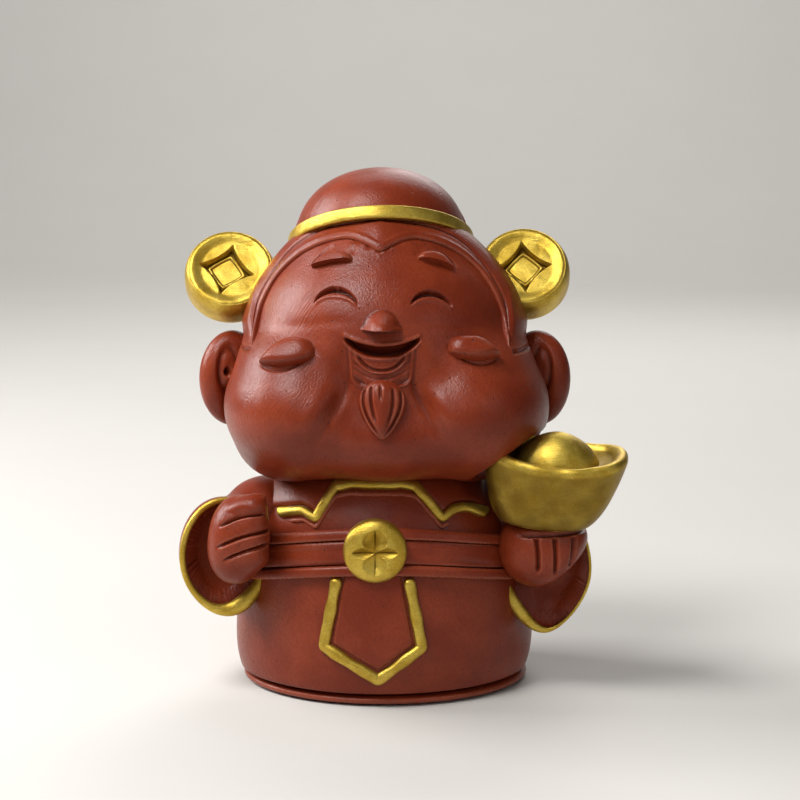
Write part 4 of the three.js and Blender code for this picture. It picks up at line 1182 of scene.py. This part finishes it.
def roll(name, line, wide, high, finish, node):
    """A half-round roll on the robe's front: aside is wide cos, and height is high sin, raised to a
    power that flattens its top. Its width wavers a little, as a hand-laid roll's does."""
    count = len(line)
    along = np.gradient(line, axis=0)
    along = along / np.linalg.norm(along, axis=1, keepdims=True)
    way = np.linspace(0, 1, count)
    from_end = np.minimum(way, 1 - way) * count * line_step
    taper = np.sqrt(np.clip(1 - (1 - np.clip(from_end / (wide / 2), 0, 1)) ** 2, 0, 1))
    waver = 1 + 0.05 * (np.sin(way * 61) + np.sin(way * 37 + 2))
    section = circle(28)
    sway = wide / 2 * np.cos(section)[None, :] * (taper * waver)[:, None]
    up = np.abs(np.sin(section))
    lift = np.where(np.sin(section) > 0, high * up ** 0.6, -0.4 * up)[None, :] * taper[:, None]
    x = line[:, :1] - along[:, 1:] * sway
    z = line[:, 1:] + along[:, :1] * sway
    piece(name, laid_on(robe, x, z, lift), finish, [node])


# %% Apron
apron_top = sash_height + sash_rise - sash_tall / 2 - 0.5
apron_middle = -1.9
apron_half_top, apron_half = 6.9, 9.2
apron_corner = 10.2
apron_tip, tip_shift = 3.95, 0.9
trim_wide = 1.95


def apron_line(inset, top):
    """The apron's edge from its left top corner down to the tip and up again, moved in by inset."""
    corner_in, corner_up = apron_half - inset * 1.05, apron_corner + inset * 0.45
    return [
        (apron_middle - apron_half_top + inset, top),
        (apron_middle - corner_in, corner_up),
        (apron_middle + tip_shift, apron_tip + inset * 1.25),
        (apron_middle + corner_in, corner_up),
        (apron_middle + apron_half_top - inset, top),
    ]


trim_path = drawn(apron_line(trim_wide / 2, apron_top), soft=6)
roll("gold_apron_edge", trim_path, trim_wide, 1.15, gold, "apron_trim")
panel = np.array(apron_line(trim_wide + 0.45, apron_top + 0.9))
panel_middle = (apron_middle, 13.5)


def panel_edge(turn):
    """The rim of the panel: how far a look from its middle goes before it meets the drawn edge."""
    line = drawn(np.concatenate([panel, panel[:1]]), soft=9) - np.array(panel_middle)
    angle = np.arctan2(line[:, 1], line[:, 0])
    reach = np.interp(turn, angle, np.hypot(line[:, 0], line[:, 1]), period=2 * math.pi)
    return reach * np.cos(turn), reach * np.sin(turn)


sprig("clay_apron", robe, panel_middle, panel_edge, 0.75, 22, "apron_panel", (90, 200))

# %% Collar
collar_corners = [
    (-20.2, -5.6), (-18.2, -5.05), (-16.2, -4.5), (-13.6, -4.0), (-11.5, -5.0), (-9.9, -2.4),
    (-8.2, 0.1), (-5.8, 0.6), (2.9, 0.6), (5.2, 0.2), (7.6, -2.4), (9.7, -4.9),
    (11.4, -3.7), (12.8, -3.5), (14.6, -3.8), (17.6, -5.1),
]
collar_line = [(x, chin_height + z) for x, z in collar_corners]
collar_path = drawn(collar_line[1:], soft=8)
roll("gold_collar_edge", collar_path, 1.5, 1.05, gold, "collar_trim")
bib_drop = 1.45
bib_path = collar_path[20:-60] - np.array([0, bib_drop])
roll("clay_bib_edge", bib_path, 0.6, 0.4, clay, "robe_shell")
panel_path = drawn(collar_line, soft=8)
panel_thick = 0.6


def collar_slab(rows=200, columns=80):
    """A slab from a little above the gold line up under the head: its section goes up its face and
    down its back, and its height has rounded edges, 1 - the tenth power of how far from its middle."""
    across = np.linspace(0, 1, rows)[:, None]
    section = circle(columns)[None, :]
    share = 0.5 - 0.5 * np.cos(section)
    end = np.clip(np.minimum(across, 1 - across) * 40, 0, 1) ** 0.5
    face = panel_thick * (1 - np.abs(2 * share - 1) ** 10) * end
    lift = np.where(section < math.pi, face, -0.4 * end * np.sin(section) ** 2)
    at, steps = across * (len(panel_path) - 1), np.arange(len(panel_path))
    low_x, low_z = (np.interp(at, steps, panel_path[:, k]) for k in (0, 1))
    low_z = low_z + 0.9
    x = low_x + (low_x * 0.97 - low_x) * share
    z = low_z + (chin_height + 1.6 - low_z) * share
    return laid_on(robe, x, z, lift)


piece("clay_collar", collar_slab(), clay, ["collar_panel_right", "collar_panel_left"])

# %% [markdown]
# ## Hands
# The right hand is a fist on the sash, four fingers one over another, slanting up to the wrist. The
# left lies palm up under the ingot with its fingers side by side. The fist is a ball with knuckles
# and a thumb flowing into it, and the palm is a ball cut flat on top. The grooves between the fingers
# are pressed in with the edge of a stick: a depth that falls off with the distance from a line.

# %% The fist
fist_place = np.array([-24.4, -17.4, 28.6])
fist_lean = tilted(math.radians(7), "y")
knuckle_rises = (6.0, 3.0, 0.2, -2.9)
hand_grid = (340, 280)


def pressed(p, heart, left, right, bow, wide, deep):
    """A groove pressed with a stick's edge from left to right: its height at x is a line between
    their heights, bowed by 4 t (1 - t), and it thins out at both ends."""
    x, y, z = np.moveaxis(p, -1, 0)
    t = (x - left[0]) / (right[0] - left[0])
    line = left[1] + (right[1] - left[1]) * t + bow * 4 * t * (1 - t)
    ends = ease((t + 0.06) / 0.25) * ease((1.12 - t) / 0.1) * (y < heart[1] + 1)
    away = p - heart
    away = away / np.linalg.norm(away, axis=-1, keepdims=True)
    return p + away * (groove(z - line, wide, deep) * ends)[..., None]


fist = egg(fist_place + (-0.3, 0.4, -0.3), 10.2, 10.6, 15.2, fist_lean, 2.2)
for rise in knuckle_rises:
    fist = flow(fist, egg(fist_place + (2.6, -1.9, rise), 4.6, 5.0, 3.4), 1.8)
thumb = egg(fist_place + (1.3, -1.8, 6.2), 7.2, 4.2, 2.5, tilted(math.radians(-20), "y"))
fist = flow(fist, thumb, 0.5)
fist_skin = cast(fist, fist_place, all_round(*hand_grid))
for left, right, bow in [
    ((-27.4, 31.5), (-20.6, 33.6), 0.6),
    ((-27.8, 27.9), (-19.9, 30.5), 0.5),
    ((-26.8, 25.7), (-20.0, 28.1), 0.2),
]:
    fist_skin = pressed(fist_skin, fist_place, left, right, bow, 0.3, 0.9)
piece("clay_hand_right", fist_skin, clay, ["hand_right"])

# %% The offered hand
palm_place = np.array([27.2, -12.8, 24.2])
palm = egg(palm_place + (0.2, 0.4, 1.6), 15.9, 14.4, 13.9, tilted(math.radians(6), "y"), 2.2)
palm_top, slant_at = 30.4, 6.3
flat_palm = scoop(palm, lambda p: palm_top - p[..., 2], 0.6)
flat_palm = scoop(flat_palm, lambda p: slant_at - (p[..., 0] - p[..., 2]) * math.sqrt(0.5), 3.0)
palm_skin = cast(flat_palm, palm_place, all_round(*hand_grid))
sideways = palm_skin[..., [2, 1, 0]]
sideways_heart = palm_place[[2, 1, 0]]
for across, lean, foot in [(25.5, 0.3, 22.9), (28.7, 0.1, 22.5), (32.0, -0.6, 23.4)]:
    foot_end, top_end = (foot, across + lean), (28.6, across)
    sideways = pressed(sideways, sideways_heart, foot_end, top_end, 0.15, 0.36, 0.85)
palm_skin = sideways[..., [2, 1, 0]]
palm_skin = pressed(palm_skin, palm_place, (22.6, 29.1), (35.4, 29.5), 0.1, 0.3, 0.5)
piece("clay_hand_left", palm_skin, clay, ["hand_left"])

# %% [markdown]
# ## Sleeves
# A wide sleeve hangs from each arm like a bell, its mouth turned forward and hollowed, with a gold
# rolled cuff that is thin at the top and thick where the cloth gathers at the bottom. The bell and
# the shoulder flow together, the mouth is cut by a plane, and the hollow is scooped with an egg.

# %% The sleeve's form
bell_wide, bell_deep = 15.4, 23.0
mouth_soft = 0.7
right_place = np.array([-float(robe_half(28.6)) - 3.5, -12.53, 24.5])
left_place = np.array([float(robe_half(24.2)) + 3.0, -11.0, 21.9])
mouths = {
    "right": (right_place, 20, math.radians(16), 0.1),
    "left": (left_place, 22.4, math.radians(-8), 0.3),
}


def pinched(up, pinch):
    """How narrow a mouth is: 1 above its middle, and 1 - pinch v squared at v of the way down."""
    return 1 - pinch * np.clip(-up, 0, 1) ** 2


def sleeve(side, shoulder, hollow):
    """Bell and shoulder in one, cut at the mouth's plane and scooped, seen from inside the bell."""
    place, tall, turn, pinch = mouths[side]
    frame_turn = tilted(turn, "z")

    def bell(p, less=0.0, deep=bell_deep):
        q = (p - place) @ frame_turn
        q[..., 0] /= pinched(2 * q[..., 2] / tall, pinch)
        return egg((0, 0, 0), bell_wide - less, deep, tall - less)(q)

    arm = egg(shoulder, 16.4, 16.8, 12.4)
    body = flow(bell, arm, 3.5)
    cut = scoop(body, lambda p: ((p - place) @ frame_turn)[..., 1], mouth_soft)
    cupped = scoop(cut, lambda p: bell(p, 2.2, 2 * hollow), 0.6)
    inside = place + frame_turn @ (0, hollow + 4.8, 0)
    piece("clay_sleeve_" + side, cast(cupped, inside, all_round(260, 210)), clay, ["sleeve_" + side])


shoulder_aside = float(robe_half(chin_height - 4)) - 2
shoulder_right = np.array([-shoulder_aside, -2.7, chin_height - 6.4])
sleeve("right", shoulder_right, 4.2)
sleeve("left", shoulder_right * (-1, 1, 1), 3.6)

# %% Cuffs
def turn_between(walk, angle):
    """How far round the walk is from an angle, between minus and plus half a turn."""
    return np.mod(walk - angle + math.pi, 2 * math.pi) - math.pi


def cuff(side, thin, thick, bottom, covered):
    """A roll round the sleeve's mouth: thin all round, thick near the angle called bottom, and pressed
    into the sleeve near the angle where the hand has covered it."""
    place, tall, turn, pinch = mouths[side]
    section, walk = grid(circle(36), circle(320))
    wide = thin + (thick - thin) * hump(turn_between(walk, bottom) / 0.75)
    pressed_away = hump(turn_between(walk, covered) / 0.5)
    across = (bell_wide / 2 - thin * 0.35) * np.cos(walk) * pinched(np.sin(walk), pinch)
    up = (tall / 2 - thin * 0.35) * np.sin(walk)
    out = wide / 2 * np.cos(section)
    y = -0.1 - wide / 2 * 0.85 * np.sin(section) + 1.4 * pressed_away
    local = np.stack([across + out * np.cos(walk), y, up + out * np.sin(walk)], -1)
    in_place = local @ tilted(turn, "z").T + place
    piece("gold_cuff_" + side, in_place, gold, ["cuff_trim_" + side], ring=True)


cuff("right", 1.1, 2.9, math.radians(-62), math.radians(38))
cuff("left", 0.5, 2.3, math.radians(-138), math.radians(100))

# %% [markdown]
# ## The ingot
# The boat-shaped ingot is a turned bowl drawn out sideways: its ends are pulled up and its front is
# nearly flat. A dome of gold sits in its hollow. The plan is a superellipse, which squares the oval
# a little, the ends rise with the square of how far along they are, and the back of the rim curls up
# where it is pressed against the cheek.

# %% Hull and dome
ingot_half, ingot_half_deep, ingot_tall = 12.0, 7.8, 12.5
ingot_foot, foot_shift = 6.3, -1.3
end_rise = 1.8
lip_half, deck_drop = 1.35, 1.5
squarer = 0.76
curl_high, curl_x, curl_y = 2.3, -6.8, 6.0
ingot_place = np.array([28.2, -15.0, 30.6])
ingot_turn = tilted(math.radians(-7), "z") @ tilted(math.radians(5), "y") @ tilted(math.radians(9), "x")
up = np.linspace(0, 1, 70)
hull_r = ingot_foot + (ingot_half - ingot_foot) * up ** 0.42
hull_z = (ingot_tall - lip_half) * up + 0.35 * (1 - up)
bottom_r = np.linspace(0, 1, 14)[:-1] * (ingot_foot - 0.8)
edge = np.linspace(0, math.pi / 2, 8)[1:-1]
edge_r = ingot_foot - 0.8 + 0.8 * np.sin(edge)
edge_z = 0.35 * (1 - np.cos(edge))
lip = np.linspace(0, math.pi * 0.86, 20)[1:]
lip_r = ingot_half - lip_half + lip_half * np.cos(lip)
lip_z = ingot_tall - lip_half + lip_half * np.sin(lip)
deck = np.linspace(1, 0, 40)
deck_r = lip_r[-1] * deck
deck_z = lip_z[-1] - (deck_drop - ingot_tall + lip_z[-1]) * (1 - deck ** 6)
profile_r = np.concatenate([bottom_r, edge_r, hull_r, lip_r, deck_r[1:]])[:, None]
profile_z = np.concatenate([0 * bottom_r, edge_z, hull_z, lip_z, deck_z[1:]])[:, None]
turn = circle(300)[None, :]
hull_x = profile_r * power(np.cos(turn), squarer)
hull_y = profile_r * power(np.sin(turn), squarer) * ingot_half_deep / ingot_half
share_up = np.clip(profile_z / ingot_tall, 0, 1)
drawn_up = end_rise * (hull_x / ingot_half) ** 2 * share_up ** 2
curl = curl_high * hump((hull_x - curl_x) / 2.3) * hump((hull_y - curl_y) / 1.5) * share_up ** 8
waver = 0.14 * np.sin(hull_x * 1.1 + 1) * np.sin(profile_z * 0.9)
hull = np.stack([
    hull_x + foot_shift * (1 - share_up),
    hull_y + waver * np.sign(hull_y),
    profile_z + drawn_up + curl * (1 + 0.25 * np.sin(hull_x * 5)),
], -1)
# Painted shade: the hull below its rim is painted a darker olive through the proud mark.
shade_on_hull = 0.6 * ease((0.98 - share_up) / 0.1) + 0 * hull_x
piece("gold_ingot", hull @ ingot_turn.T + ingot_place, gold, ["ingot_hull"], painted_shade_share=shade_on_hull)

mound = superegg(7.3, 5.6, 5.5, 1.22, 140, 90)
mound[..., 2] += ingot_tall - deck_drop - 0.1
mound[..., 0] += 0.1
piece("gold_ingot_dome", mound @ ingot_turn.T + ingot_place, gold, ["ingot_dome"])

# %% [markdown]
# ## The stage
# The floor is a plain pale sheet that curves up behind the figure. It takes the figure's soft shadow
# and shows pale in the gold's reflections.

# %% Floor
def backdrop():
    """A sheet whose height is 0 as far as the bend and then rises on a quarter circle."""
    reach, bend_start, bend_size = 5, 0.9, 0.7
    wide = np.linspace(-reach, reach, 9)
    way = np.linspace(-reach, 2.6, 200)
    angle = np.clip((way - bend_start) / bend_size, 0, math.pi / 2)
    over = np.maximum(way - bend_start - bend_size * math.pi / 2, 0)
    y = np.where(way < bend_start, way, bend_start + bend_size * np.sin(angle))
    z = np.where(way < bend_start, 0, bend_size * (1 - np.cos(angle)) + over)
    x, y = np.meshgrid(wide, y)
    z = np.repeat(z[:, None], len(wide), axis=1)
    index = np.arange(x.size).reshape(x.shape)
    quads = np.stack([index[:-1, :-1], index[:-1, 1:], index[1:, 1:], index[1:, :-1]], -1)
    places = np.stack([x, y, z], -1).reshape(-1, 3)
    return smooth_mesh("pale_floor", places, quads.reshape(-1, 4).tolist())


floor = backdrop()
sheet = Finish("pale_floor")
sheet.finish({
    "Base Color": sheet.mix(sheet.noise(60, 2) * 0.5, paint("#cbc8c3"), paint("#c4c0ba")),
    "Roughness": 0.75,
    "Specular IOR Level": 0.2,
})
floor.data.materials.append(sheet.material)

# %% [markdown]
# ## Light and camera
# The photograph was lit by one soft lamp high on the left, close enough to give a broad sheen on the
# brow and cheek, with little fill from the right. The camera looked down by 8.5 degrees through a
# long lens, which the oval of the base gives away.

# %% Light
def lamp(name, place, size, watts, aim=(0, 0, 0.05)):
    """An area lamp that faces a point."""
    light = bpy.data.lights.new(name, "AREA")
    light.energy, light.size = watts, size
    made = placed(name, light)
    made.location = place
    made.rotation_euler = (Vector(aim) - Vector(place)).to_track_quat("-Z", "Y").to_euler()
    print("the", name, "lamp gives", watts, "W from", place)


lamp("key", (-0.18, -0.165, 0.38), size=0.16, watts=1.6, aim=(0, 0, 0.06))
lamp("side", (-0.47, 0.1, 0.3), size=0.26, watts=3.2, aim=(0, 0, 0.07))
lamp("window", (-0.14, -0.52, 0.38), size=0.26, watts=0.45)
lamp("fill", (0.42, -0.5, 0.3), size=0.35, watts=0.4)
lamp("rim", (0.15, 0.5, 0.4), size=0.3, watts=0.9)
lamp("backdrop", (0, 0.75, 1.1), size=0.8, watts=11, aim=(0, 1.5, 0.2))

world = bpy.data.worlds.new("studio")
bpy.context.scene.world = world
world.use_nodes = True
background = world.node_tree.nodes["Background"]
background.inputs["Color"].default_value = (0.8, 0.8, 0.8, 1)
background.inputs["Strength"].default_value = 0.11
bpy.context.scene.view_settings.view_transform = "Standard"

# %% Camera
look_down = math.radians(8.5)
stand_off = 332.9
aim_across, aim_height = 2.65, 49.54
lens = bpy.data.cameras.new("camera")
lens.lens, lens.sensor_width = 85, 36
lens.clip_start = 0.01
camera = placed("camera", lens)
back = np.array([0, -math.cos(look_down), math.sin(look_down)])
camera.location = ((np.array([aim_across, 0, aim_height]) + stand_off * back) * mm).tolist()
camera.rotation_euler = (math.pi / 2 - look_down, 0, 0)
bpy.context.scene.camera = camera
